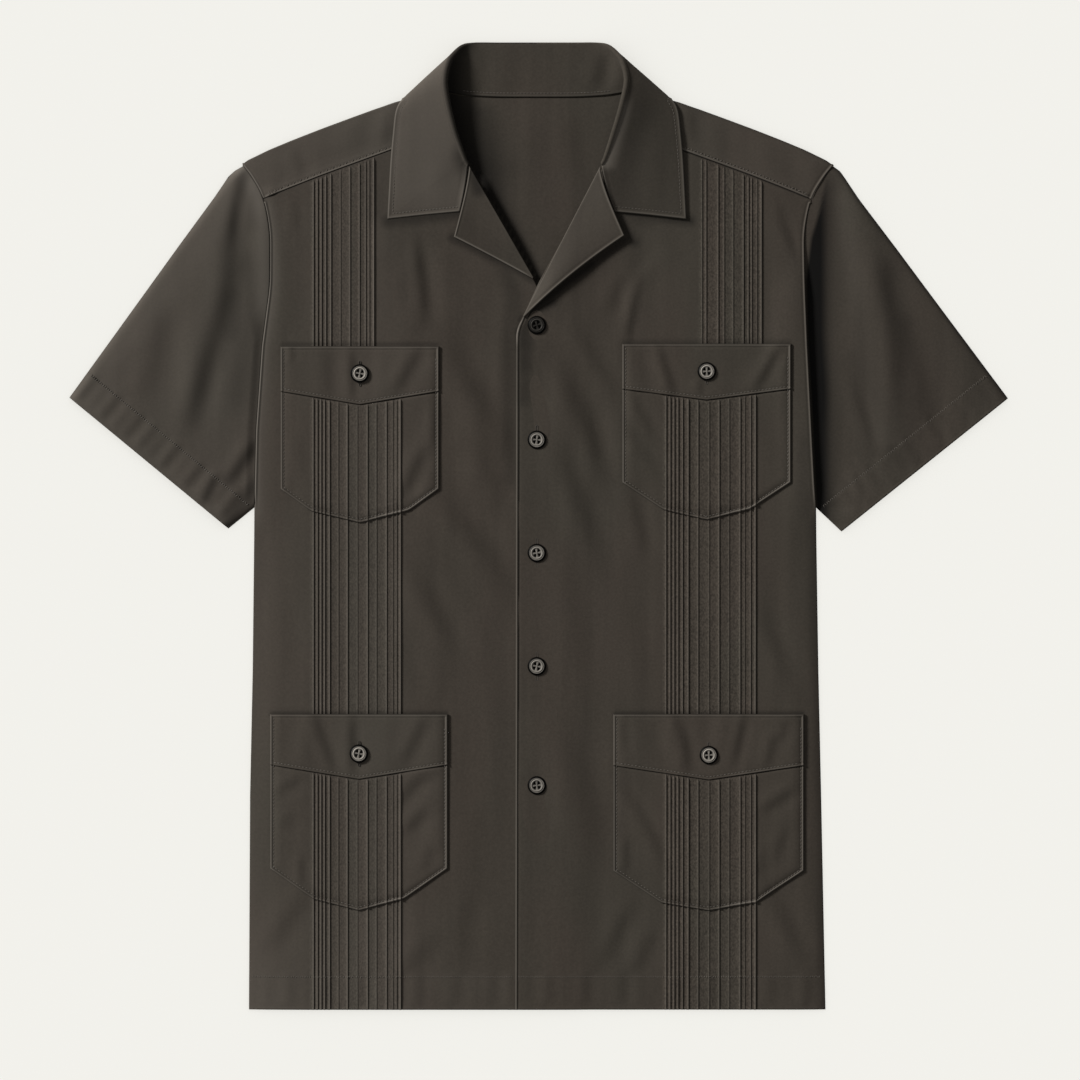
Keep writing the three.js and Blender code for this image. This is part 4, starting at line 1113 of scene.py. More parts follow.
def back_middle(sides, across, t, on):
    """Middle surface of the back: flat rows, the fold over the crest of the shoulders, and the
    rows from there down to the forward seams; with the number of rows before the fold."""
    level = 272  # rows are straight up to here
    fold = 1.6  # radius of the fold in plan

    def place(y):
        """x of the columns at heights y (rows x columns)."""
        y = np.asarray(y)
        inner = CENTRE_X + sides * NECK_HALF * across
        ends = np.where(sides < 0, edge_x(-1, y), edge_x(1, y))
        return mix(inner, ends, t)

    rows = HEM_Y + (level - HEM_Y) * spread(level - HEM_Y, 6.0, end=False)
    lines = [np.stack([place(np.full(len(t), y)), np.full(len(t), y)], -1) for y in rows]
    top_x = place(np.full(len(t), ARM_TOP))
    neck_y = 356.5 + 0.9 * ease((out(top_x) - 30) / 30) + 4.4 * ease((out(top_x) - 55) / 30)
    crest = np.where(on, crest_y(top_x) - 0.5, neck_y)
    last = np.where(on, crest - fold, crest)
    for f in spread(82, 3.0)[1:]:
        y = mix(level, last, f)
        lines.append(np.stack([place(np.minimum(y, ARM_TOP)), y], -1))
    flat = np.stack(lines)
    x, y = flat[..., 0], flat[..., 1]
    neck_inside = ease((100 - out(x)) / 12) * ease((y - 190) / 40)
    flat_z = back_surface(x, y) + neck_inside * (creases(x, y, BACK_CREASES) + ripple(x, y))

    low = flat_z[-1]
    near = ease((134 - out(top_x)) / 14)
    high = FRONT_Z + FRONT_FULL * ease((1 - t) * 6) + 1.1 * near
    half = (high - low) / 2
    folded, folded_z = [], []
    for angle in np.radians(np.linspace(-80, 80, 9)):
        folded.append(np.stack([top_x, crest - fold + fold * math.cos(angle)], -1))
        folded_z.append(low + half * (1 + math.sin(angle)))
    for f in np.concatenate([[0.03], spread(36, 1.5, start=False)[1:]]):
        x = place(mix(crest, seam_y(top_x), f))
        x = place(mix(crest, seam_y(x), f))
        y = mix(crest, seam_y(x), f)
        extra = np.where(sides < 0, armhole_lift(-1, x, y), armhole_lift(1, x, y))
        lift = 0.35 * np.sin(math.pi * min(1, f * 1.5)) + extra
        folded.append(np.stack([x, y], -1))
        shape = creases(x, y, SHOULDER_CREASES) * ease(f * 4) * ease((1 - t) * 145 / 8)
        folded_z.append(mix(high, high - 1.1 * near, ease((f - 0.35) / 0.6)) + lift + shape)
    middle = np.concatenate([np.concatenate([flat, flat_z[..., None]], -1),
                             np.concatenate([np.stack(folded), np.stack(folded_z)[..., None]], -1)])
    return middle.transpose(1, 0, 2), len(lines)


def shoulder_details(x, y, upper):
    """Relief, wear with painted highlights, and painted shade of the shoulders along the forward
    seams and the armholes, with each shoulder made lighter and painted shade along each crest.
    upper is true on the cloth that has turned over the crest."""
    relief, wear_and_painted_light, painted_shade = np.zeros_like(x), np.zeros_like(x), np.zeros_like(x)
    for side in (-1, 1):
        xs = CENTRE_X + side * np.linspace(NECK_HALF, 248, 30)
        ys = np.linspace(262, 301, 16)
        d = distance(x, y, np.stack([xs, seam_y(xs)], -1))
        e = distance(x, y, np.stack([edge_x(side, ys), ys], -1))
        clear = ease((e - 1) / 6)
        relief += upper * clear * rolled(d, ridge=0.38, crest=0.9, width=0.7, groove=0.2, inset=2.6)
        relief += upper * rolled(e, **ARMHOLE_ROLL)
        relief += upper * (0.34 * clear * ease((7 - d) / 5) - 0.4 * ease(1 - d / 0.6))
        relief -= upper * 0.35 * hump(np.hypot(d, e) / 3.5)
        armhole = (0.75 if side < 0 else 0.45) * hump((e - 0.9) / 0.7)
        wear_and_painted_light = np.maximum(wear_and_painted_light, upper * np.maximum(0.42 * hump((d - 0.9) / 0.7), armhole))
        # Each shoulder is made lighter, more on the right; below, painted shade at the seams and
        # along each crest.
        wear_and_painted_light = wear_and_painted_light + upper * ((x < CENTRE_X) == (side < 0)) * (0.19 if side < 0 else 0.05)
        crest = np.stack([CENTRE_X + side * SHOULDER[:, 0], SHOULDER[:, 1]], -1)
        painted_shade = strongest(painted_shade, upper * 0.6 * np.maximum(hump(d / 0.5) * clear, hump(e / 0.4)),
                         (0.3 if side < 0 else 0.7) * hump(distance(x, y, crest) / 1.3))
    return relief, wear_and_painted_light, painted_shade


def build_back():
    """The back, flat on the surface, in one with the shoulders: each column runs up from the
    hem, over the crest of the shoulder and down to the forward seam, or ends at the neck."""
    sides, across, t = back_columns()
    on = (t > 0) | (across == 1)
    middle, turn = back_middle(sides, across, t, on)
    n = normals_of(middle)
    x, y = middle[..., 0], middle[..., 1]
    upper = np.arange(middle.shape[1])[None, :] >= turn + 4
    relief, wear_and_painted_light, painted_shade = shoulder_details(x, y, upper)
    ripples = np.where(upper, 0, hem_ripple(x, y - HEM_Y, HEM_DEPTH, 0.12))
    inside_face = middle + n * (WALL / 2 + ripples)[..., None]
    outside_face = middle - n * (WALL / 2 + relief)[..., None]
    keep = np.ones((len(t) - 1, middle.shape[1] - 1), bool)
    keep[~(on[:-1] & on[1:]), turn - 1:] = False
    points, faces, used = double_sheet(inside_face, outside_face, keep)
    points[:, 2] = np.maximum(points[:, 2], 0.0)
    marks = {"wear_and_painted_light": np.stack([0 * wear_and_painted_light, wear_and_painted_light]).ravel()[used],
             "painted_shade": np.stack([neck_shade(x, y) * ~upper, painted_shade]).ravel()[used]}
    obj = make_object("cloth_back", points, faces, cloth_material("shirting"), marks)
    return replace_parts(obj, "back")


# ---------------------------------------------------------------- pockets
def side_of(p):
    return -1 if p.x0 < 0 else 1


def middle_x(p):
    return (p.x0 + p.x1) / 2


def pocket_bottom(p, x):
    """Lower edge of a pocket: a cut corner at each side, then a soft point."""
    half = (p.x1 - p.x0) / 2
    d = half - np.abs(x - middle_x(p))
    return np.where(d < p.cut, mix(p.corner, p.cut_y, d / p.cut),
                    mix(p.cut_y, p.point, (d - p.cut) / (half - p.cut)))


def band_line(p, x):
    """Lower line of a pocket's band: a shallow point at the middle."""
    half = (p.x1 - p.x0) / 2
    return mix(p.band_mid, p.band_side, np.abs(x - middle_x(p)) / half)


def pocket_base(p, x, y):
    """Middle of a pocket's wall: close to the front at the sewn sides and foot, and above the
    tucks of the front inside and at the top."""
    side = side_of(p)
    inside = np.minimum(np.minimum(x - p.x0, p.x1 - x), y - pocket_bottom(p, x))
    over_tucks = (x > TUCKS[side][0, 0] - 4) * (x < TUCKS[side][-1, 0] + 4) * (y > p.band_mid)
    clear = ease((inside + over_tucks * 9) / 9)
    return front_surface(side, x, y) + WALL / 2 + mix(0.15, 0.8 + SEAM, clear) + WALL / 2


def pocket_creases(p, table, x, y):
    """A piece's own creases, which die away towards its sewn sides."""
    return creases(x, y, table[p.name]) * between(x, p.x0, p.x1, 8)


def pocket_outline(p):
    xs = np.linspace(p.x0, p.x1, 41)
    low = np.stack([xs, pocket_bottom(p, xs)], -1)
    return np.concatenate([[(p.x0, p.top)], low, [(p.x1, p.top)]])


def sewn_edge(d, bold):
    """Relief of the edge of a pocket or a band, bolder on its right-hand side."""
    return rolled(d, mix(0.24, 0.4, bold), mix(0.9, 1.5, bold), 0.2, width=0.6, inset=2.9)


def pocket_columns(p):
    """x of a pocket's columns, close together at its sides and round each tuck, and x of the
    crests of its tucks."""
    crests = TUCKS[side_of(p)][:, 0]
    crests = crests[(crests > p.x0 + 6) & (crests < p.x1 - 6)]
    before = np.diff(crests, prepend=crests[0] - 4)
    after = np.diff(crests, append=crests[-1] + 4)
    tucks = np.sort(np.concatenate(tuck_lines(crests, before, after)))
    mids = (tucks[:-1] + tucks[1:]) / 2
    tucks = np.sort(np.concatenate([tucks, mids[np.diff(tucks) > 2.0]]))
    left, right = tucks[0] - p.x0, p.x1 - tucks[-1]
    first = p.x0 + left * spread(left, 2.3, end=False)[:-1]
    last = tucks[-1] + right * spread(right, 2.3, start=False)[1:]
    return np.sort(np.concatenate([first, tucks, last])), crests


def build_pocket(p):
    """A patch pocket below its band, tucked in line with the front behind it."""
    side = side_of(p)
    xs, crests = pocket_columns(p)
    v = spread(p.band_mid - p.point, 2.8)
    bottom = pocket_bottom(p, xs)
    top = band_line(p, xs) - SEAM
    x = np.repeat(xs[:, None], len(v), 1)
    y = bottom[:, None] + (top - bottom)[:, None] * v
    base = pocket_base(p, x, y) + pocket_creases(p, POCKET_CREASES, x, y)
    d = distance(x, y, pocket_outline(p))
    to_band = band_line(p, x) - y
    below = np.full_like(y, -200.0)  # a height where the tucks run straight
    tucked = between(x, p.x0 + 3, p.x1 - 3, 3) * ease(to_band / 2.5)
    right = ease((x - middle_x(p)) / 24) * (x - p.x0 > d + 0.2)
    relief = tuck_relief(side, x, below) * tucked + sewn_edge(d, right)
    face = base + WALL / 2 + relief - rim(d) - 0.5 * hump(to_band / 1.2)

    # Rubbed edges with painted highlights, the right-hand pockets made lighter, and painted shade
    # beside the tucks, the edges and the band, and along the left side by the pocket's shade.
    light, dark = tuck_marks(side, x, below)
    foot = ease((x - p.x0 - 2) / 2) * ease((mix(p.x0, p.x1, 0.6) - x) / 12)
    wear_and_painted_light = strongest(mix(0.6, 0.9, right) * hump((d - mix(0.9, 1.6, right)) / 0.5),
                     TUCK_LIGHT[side] * light * tucked)
    wear_and_painted_light = wear_and_painted_light * (1 - 0.55 * foot * ease((9 - d) / 3))
    wear_and_painted_light = wear_and_painted_light + (0.045 + 0.05 * hump((x + 138) / 45)) * (side < 0)
    painted_shade = strongest(TUCK_DARK * dark * tucked,
                     mix(0.45, 0.75, right) * hump(d / mix(0.45, 0.6, right)),
                     mix(0.6, 0, right) * hump((d - 2.2) / 0.55) * (1 - 0.6 * foot),
                     0.5 * hump(to_band / 0.8))
    painted_shade = painted_shade + p.shade * ease((18 - (x - p.x0)) / 13)
    grain = between(x, crests[0] - 3, crests[-1] + 1, 2)
    marks = {"wear_and_painted_light": wear_and_painted_light, "painted_shade": painted_shade, "warm": strip_warmth(side, x, below), "grain": grain}
    obj = add_sheet("cloth_pocket_" + p.name, np.stack([x, y, face], -1), base - WALL / 2,
                    marks, step=6)
    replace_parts(obj, "pocket_" + p.name)
    return obj


def build_band(p):
    """The folded band across the top of a pocket, with its buttonhole drawn in a little."""
    v = spread(p.top - p.band_mid, 2.0)
    xs = p.x0 + (p.x1 - p.x0) * spread(p.x1 - p.x0, 2.0)
    x = np.repeat(xs[:, None], len(v), 1)
    y = band_line(p, xs)[:, None] + (p.top - band_line(p, xs))[:, None] * v
    own = pocket_creases(p, BAND_CREASES, x, y)
    dent = 0.35 * hump((x - middle_x(p)) / 8) * hump((y - p.button) / 11)
    base = pocket_base(p, x, y) + 0.25 + own - dent
    d = distance(x, y, [(p.x0, p.band_side), (p.x0, p.top), (p.x1, p.top), (p.x1, p.band_side)])
    to_line = y - band_line(p, x)
    right = ease((x - mix(p.x0, p.x1, 0.55)) / 20)
    bold = (x - p.x0 > d + 0.05).astype(float)
    relief = sewn_edge(d, bold) + rolled(to_line, ridge=mix(0.06, 0.2, right), crest=0.8, width=0.6,
                                         groove=0.16, inset=2.4)
    face = base + BAND_WALL / 2 + relief - rim(d, BAND_WALL) - rim(to_line, 1.0)

    # Rubbed edges with painted highlights and the right-hand bands made lighter; painted shade
    # along the edges and under the band's line.
    faint = np.where(d > p.top - y - 0.05, 0.45, 1.0)
    wear_and_painted_light = strongest(mix(0.6, 0.85, bold) * hump((d - mix(0.9, 1.6, bold)) / 0.5) * faint,
                     mix(0.06, 0.3, right) * hump((to_line - 0.8) / 0.6))
    wear_and_painted_light = wear_and_painted_light + (0.035 + 0.06 * hump((x + 138) / 45)) * (p.x0 < 0)
    painted_shade = strongest(mix(0.3, 0.75, bold) * hump(d / mix(0.35, 0.6, bold)),
                     mix(0.6, 0, bold) * hump((d - 2.2) / 0.55),
                     mix(0.2, 0.5, right) * hump(to_line / 0.4))
    obj = add_sheet("cloth_band_" + p.name, np.stack([x, y, face], -1), base - BAND_WALL / 2,
                    {"wear_and_painted_light": wear_and_painted_light, "painted_shade": painted_shade})
    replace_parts(obj, "band_" + p.name)
    return obj


# ---------------------------------------------------------------- lapels
def gorge_bow(lapel, w):
    """How far the gorge curves towards the centre at a share w of the way from roll to tip: the
    lapel's own amount times the sine of pi w^0.7, so most of the curve is near the roll."""
    return lapel.gorge * np.sin(math.pi * np.clip(w, 0, 1) ** 0.7)


def lapel_plan(lapel, u, w):
    """Place on a lapel: u from the foot of the roll line to its top, w from the roll line out to
    the lower edge, which bows by the lapel's own amount."""
    roll_x, roll_y = mix(lapel.start[0], lapel.roll[0], u), mix(lapel.start[1], lapel.roll[1], u)
    low_x, low_y = mix(lapel.start[0], lapel.tip[0], u), mix(lapel.start[1], lapel.tip[1], u)
    bow = lapel.bow * 4 * u * (1 - u) * w
    x = CENTRE_X + lapel.side * (mix(roll_x, low_x, w) - bow * 0.5 - gorge_bow(lapel, w) * u**3)
    return x, mix(roll_y, low_y, w) + bow * 0.85


def lapel_height(lapel, u, w, x, y):
    if lapel.side < 0:
        rise = 2.9 * ease(u * 2.2) * (1 - ease(w * 1.6)) + 0.2 * ease(u * 2)
    else:
        rise = 2.9 * ease(u * 2.2) * (1 - ease(w * 0.8)) + 2.7 * ease(u * 3) * ease(w * 1.1)
    return front_surface(lapel.side, x, y) + WALL + SEAM + rise


def build_lapel(lapel):
    """A turned-back lapel: a fan of cloth from the foot of the roll line out to the tip."""
    foot = 0.03  # the fan starts at this share of the roll line
    us = foot + (1 - foot) * spread(150, 1.7)
    w, u = np.meshgrid(spread(60, 1.3), us, indexing="ij")
    x, y = lapel_plan(lapel, u, w)
    base = lapel_height(lapel, u, w, x, y)
    line = np.linspace(foot, 1, 40)
    one = np.ones_like(line)
    lower, gorge, roll = (
        distance(x, y, np.stack(lapel_plan(lapel, *place), -1))
        for place in ((line, one), (one, np.linspace(0, 1, 40)), (line, 0 * one)))
    d = np.minimum(lower, gorge)
    fade = ease(u * 6)
    relief = rolled(d, ridge=0.34, crest=0.9, width=0.6, groove=0.14, inset=2.6) * fade
    face = base + WALL / 2 + relief - rim(np.minimum(d, roll))
    # Rubbed edges with painted highlights; painted shade at the edges and, on the right lapel, in
    # the hollow by the gorge; painted light over the left lapel.
    wear_and_painted_light = strongest(0.45 * hump((d - 0.9) / 0.6) * fade, 0.15 * hump(roll / 1.4))
    painted_shade = 0.5 * hump(d / 0.3)
    if lapel.side < 0:
        painted_shade = strongest(painted_shade, 0.62 * shade(x, y, LAPEL_PAINTED_SHADE_LINE, 13),
                         0.12 * (1 - ease((232 - y) / 30)))
        wear_and_painted_light = np.maximum(wear_and_painted_light, 0.75 * hump((d - 0.9) / 0.6) * fade)
        painted_shade = painted_shade * (1 - 0.8 * hump((d - 0.9) / 0.7))
    else:
        wear_and_painted_light = wear_and_painted_light + 0.19 - 0.14 * u * w
    obj = add_sheet("cloth_" + lapel.name, np.stack([x, y, face], -1), base - WALL / 2,
                    {"wear_and_painted_light": wear_and_painted_light, "painted_shade": painted_shade}, flip=lapel.side < 0)
    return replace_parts(obj, lapel.name)


# ---------------------------------------------------------------- collar
def smooth_rows(table, at):
    """Rows of a table at places between them, on a Catmull-Rom curve through every column."""
    padded = np.vstack([2 * table[0] - table[1], table, 2 * table[-1] - table[-2]])
    k = np.clip(np.floor(at).astype(int), 0, len(table) - 2)
    f = (at - k)[:, None]
    a, b, c, d = padded[k], padded[k + 1], padded[k + 2], padded[k + 3]
    square, cube = 2 * a - 5 * b + 4 * c - d, 3 * b - a - 3 * c + d
    return 0.5 * (2 * b + (c - a) * f + square * f**2 + cube * f**3)


def unit(v):
    return v / np.linalg.norm(v, axis=-1, keepdims=True)


def collar_half(side, at, t):
    """Middle surface of half the collar: for each station, up the stand from the neck seam,
    round the roll and down the fall to the free edge. t runs over these from 0 to 1."""
    lapel = LAPELS[0 if side < 0 else 1]
    table = COLLAR.astype(float).copy()
    along = (lapel.roll[1] - table[-1, 7]) / (lapel.roll[1] - lapel.tip[1])
    table[-1, 6] = mix(lapel.roll[0], lapel.tip[0], along) + 0.9 * SEAM
    first = smooth_rows(table[: COLLAR_CORNER + 1], np.minimum(at, COLLAR_CORNER))
    rest = np.stack([np.interp(at, np.arange(len(table)), column) for column in table.T], -1)
    s = np.where((at <= COLLAR_CORNER)[:, None], first, rest)
    neck, roll, edge = s[:, 0:3].copy(), s[:, 3:6].copy(), s[:, 6:9].copy()
    shift = side * lean(roll[:, 1])
    neck[:, 0] += shift * ease((LEAN_TOP - neck[:, 1]) / 12)
    roll[:, 0] += shift
    u = unit(s[:, 9:12])
    v = unit(s[:, 12:15] - u * np.sum(s[:, 12:15] * u, -1, keepdims=True))
    radius, drop, bulge = s[:, 15:16] * 0.7, np.minimum(s[:, 16:17], 1.35), s[:, 17:18]
    start, end = roll - u * radius - v * radius, roll - u * radius + v * radius
    away = unit(np.stack([end[:, 1] - edge[:, 1], edge[:, 0] - end[:, 0], 0 * edge[:, 0]], -1))
    rows = []
    for kind, f in t:
        if kind == "stand":
            rows.append(mix(neck, start, f))
        elif kind == "roll":
            angle = mix(-math.pi / 2, math.pi / 2, f)
            rows.append(roll + u * radius * (math.cos(angle) - 1) + v * radius * math.sin(angle))
        else:
            p = mix(end, edge, f) + away * bulge * math.sin(math.pi * f)
            p[:, 2] = mix(edge[:, 2], end[:, 2], (1 - f) ** drop[:, 0])
            p[:, 0] -= gorge_bow(lapel, along * f) * np.clip((at - 10) / 2, 0, 1) ** 3
            rows.append(p)
    grid = np.stack(rows, 1)
    grid[..., 0] = CENTRE_X + side * grid[..., 0]
    return grid


def collar_grid():
    """The whole collar from the right gorge round the back to the left gorge, with the number of
    rows in its stand and its roll, and the station of each column."""
    near = (np.array((0, 0.12, 0.35, 0.7, 1.2, 1.8, 2.5, 3.2, 4.0, 5.0)) / 62)[::-1]
    stand = [("stand", f) for f in (0, 0.02, 0.05, 0.09, *np.linspace(0.14, 0.96, 15))]
    roll = [("roll", f) for f in np.linspace(0, 1, 11)]
    fall = [("fall", f) for f in (*np.linspace(0.03, 0.90, 30), *(1 - near))]
    t = stand + roll + fall
    leaf = np.array([0, 0.004, 0.012, 0.025, *np.linspace(0.05, 0.93, 30), 0.955, 0.975, 0.99, 1])
    at = np.concatenate([np.linspace(0, 9, 100)[:-1], np.linspace(9, 10, 22)[:-1], 10 + 2 * leaf])
    grid = np.concatenate([collar_half(-1, at, t)[:0:-1], collar_half(1, at, t)])
    return grid, len(stand), len(roll), np.concatenate([at[:0:-1], at])


def collar_edge(grid, station, first_fall):
    """Distance from each point of the fall to the collar's free edge and its ends at the gorges."""
    x, y = grid[..., 0], grid[..., 1]
    half, visible = len(grid) // 2, station > 4.9
    free = grid[:, -1, :2]
    lines = (free[:half][visible[:half]], free[half:][visible[half:]],
             grid[0, first_fall:, :2], grid[-1, first_fall:, :2])
    return strongest(*(-distance(x, y, line) for line in lines)) * -1


def collar_marks(x, y, rows, n_stand, n_roll, d, neck):
    """Marks of the collar: wear and painted highlights on its edges, painted light on its right
    leaf and a painted highlight along its left roll; painted shade inside the neck, in the hollow
    beside the right gorge, along the right roll and on the left leaf's fall."""
    on_fall = rows >= n_stand + n_roll
    stand = rows < n_stand + 2
    turn = np.clip((rows - n_stand) / n_roll, 0, 1)
    right = x < CENTRE_X
    wear_and_painted_light = strongest(0.45 * hump((d - 0.9) / 0.7), 0.3 * hump((neck - 0.8) / 0.6))
    wear_and_painted_light = wear_and_painted_light + turn * right * 0.31 * ease((y - 225) / 60)
    painted_shade = strongest(0.5 * hump(d / 0.4), 0.4 * hump(neck / 0.3),
                     stand * (x < -20) * neck_shade(x, y),
                     (turn == 1) * right * 0.62 * shade(x, y, GORGE_PAINTED_SHADE_LINE, 17),
                     (turn > 0) * right * 0.6 * (1 - turn**3))
    wear_and_painted_light = wear_and_painted_light * (1 - 0.9 * ease(painted_shade * 3) * stand)
    beyond = np.clip(rows - n_stand - n_roll + 1, 0, None)
    lit = (x > CENTRE_X) * ease((turn - 0.45) / 0.5) * ease(1 - beyond / 6)
    lit = lit * ease((365 - y) / 20) * ease((y - 284) / 14)
    fold = on_fall & (x > CENTRE_X)
    shaded = fold * (0.08 + 0.24 * hump(distance(x, y, LEFT_ROLL_FOOT) / 20))
    return {"wear_and_painted_light": np.maximum(wear_and_painted_light, 0.5 * lit), "painted_shade": np.maximum(painted_shade, shaded) * (1 - lit),
            "warm": turn * right * 0.8}


def build_collar():
    """Collar: a wall round its middle surface, with sewn outer edges and soft creases."""
    grid, n_stand, n_roll, station = collar_grid()
    x, y = grid[..., 0], grid[..., 1]
    rows = np.arange(grid.shape[1])[None, :]
    on_fall = rows >= n_stand + n_roll
    d = np.where(on_fall, collar_edge(grid, station, n_stand + n_roll), 9.0)
    neck = np.where(rows < n_stand, np.linalg.norm(grid - grid[:, :1], axis=-1), 9.0)
    n = normals_of(grid)
    n[0], n[-1] = n[1], n[-2]
    relief = rolled(d, ridge=0.34, crest=1.1, width=0.8, groove=0.16, inset=4.2)
    relief = relief + rolled(neck, ridge=0.15, crest=0.8, width=0.6, groove=0.12, inset=2.6)
    flat_part = on_fall | (rows < n_stand)
    shape = creases(x, y, COLLAR_CREASES) * flat_part * ease(np.minimum(d, neck) / 6)
    border = rim(d, COLLAR_WALL) + rim(neck, COLLAR_WALL, 0.35)
    outer = grid + n * (COLLAR_WALL / 2 + relief + shape - border)[..., None]
    inner = grid - n * (COLLAR_WALL / 2 - border - shape)[..., None]
    points, faces, used = double_sheet(outer, inner)
    marks = {k: np.stack([v, 0 * v]).ravel()[used]
             for k, v in collar_marks(x, y, rows, n_stand, n_roll, d, neck).items()}
    points[:, 2] = np.maximum(points[:, 2], 0.0)
    obj = make_object("cloth_collar", points, faces, cloth_material("shirting"), marks)
    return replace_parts(obj, "collar")


# ---------------------------------------------------------------- sleeves
def sleeve_plan(s, v, w):
    """Plan of a sleeve: v from the armhole to the cuff, w from the shoulder to the underarm."""
    side = s.side
    y = mix(*ARMHOLE, w)
    arm_x = edge_x(side, y) - side * 0.15
    direction = np.array((s.cuff[0] - edge_x(side, ARM_TOP), s.cuff[1] - ARM_TOP))
    direction = direction / np.linalg.norm(direction)
    away = (-direction[1] * side, direction[0] * side)
    bow = np.interp(v, BOW_AT, s.bow) * (1 - ease(w / 0.3))
    cuff_x = mix(s.cuff[0], s.inner[0], w)
    cuff_y = mix(s.cuff[1], s.inner[1], w)
    return mix(arm_x, cuff_x, v) + bow * away[0], mix(y, cuff_y, v) + bow * away[1]


def sleeve_top(s, x, y):
    """Height of a sleeve's upper face: full in the middle, creased, and sunk beside the body."""
    z = 4.1 + 0 * x
    if s.side > 0:
        beside = x - edge_x(1, y)
        sunk = 2.4 * ease((46 - beside) / 30) * ease((y - 4) / 14)
        z = z - sunk * (1 - 0.4 * ease((y - 225) / 40))
        return z + creases(x, y, LEFT_SLEEVE_CREASES)
    beside = edge_x(-1, y) - x
    z = z + 1.2 * (1 - ease(beside / 130)) + 0.7 * hump((beside - 9) / 9) * ease((y - 150) / 60)
    z = z - 1.5 * ease(1 - beside / mix(8, 20, ease((y - 150) / 40))) * ease((y - 10) / 30)
    z = z - 1.1 * ease((34 - y + (x + 250) * 0.2) / 16) * hump((x + 245) / 16)
    return z + creases(x, y, RIGHT_SLEEVE_CREASES)


def cuff_relief(d, along):
    """Relief of a turned cuff: its rolled edge, the dip under its stitches and its puckers."""
    relief = rolled(d, ridge=0.14, crest=1.2, groove=0.0)
    relief = relief - 0.12 * hump((d - CUFF_DEPTH) / 0.9) + 0.1 * ease((CUFF_DEPTH + 0.5 - d) / 2)
    return relief + hem_ripple(along * 1.2, d, CUFF_DEPTH, 0.34)


def cuff_line(s):
    return np.stack(sleeve_plan(s, np.ones(30), np.linspace(0, 1, 30)), -1)


def sleeve_wear_and_painted_light(s, x, y, to):
    """How far wear and painted light lighten each point of a sleeve's upper face."""
    if s.side > 0:
        return 0.08 * hump(distance(x, y, PIT_RIDGE) / 10)
    return 0.14 + (0.15 * hump(to.fold / 30) + 0.1 * hump(to.cuff / 8)
                   + 0.12 * ease((y - 245) / 25) * hump(to.arm / 30)
                   + 0.30 * ease((y - 160) / 30) * hump((to.arm - 4) / 6))


def sleeve_painted_shade(s, x, y, to):
    """How far painted shade darkens it: in its folds, at its edges and, on the left, beside the
    body where the body's shadow falls.
    """
    if s.side > 0:
        left = np.interp(y, PIT_SHADE[:, 0], PIT_SHADE[:, 1])
        beyond = x - 2.8 * ease((165 - y) / 60)
        dark = 0.55 * ease((243 - beyond) / 10) + 0.42 * ease((256 - beyond) / 22)
        painted_shade = dark * ease((x - left + 2) / 4) * ease((y + 6) / 16) * ease((296 - y) / 14)
        painted_shade = np.maximum(painted_shade, 0.55 * hump(to.fold / 2.2))
        for line, run, strength in LEFT_SLEEVE_SHADES:
            painted_shade = painted_shade + strength * hump(distance(x, y, line) / run)
        painted_shade = painted_shade + 0.06 * ease((y - 70) / 40)
    else:
        painted_shade = strongest(*(strength * hump(distance(x, y, line) / run)
                           for line, run, strength in RIGHT_SLEEVE_SHADES))
    return strongest(painted_shade, 0.45 * hump(to.cuff / 0.4), 0.6 * hump(to.arm / 0.7),
                     0.35 * hump(to.fold / 0.8), 0.08 * hump((to.cuff - CUFF_DEPTH) / 0.8))


def tube_faces(n, m, flip):
    """Faces of a tube's wall: n rings of m points outside, as many inside, closed at both ends."""
    wrapped = wrapped_numbers(n, m)
    faces = [grid_faces(wrapped), grid_faces(wrapped)[:, ::-1] + n * m]
    for row, turn in ((0, 1), (-1, -1)):
        ring = wrapped[row]
        strip = np.stack([ring[:-1], ring[1:], ring[1:] + n * m, ring[:-1] + n * m], -1)
        faces.append(strip[:, ::turn])
    return [f[:, ::-1] for f in faces] if flip else faces


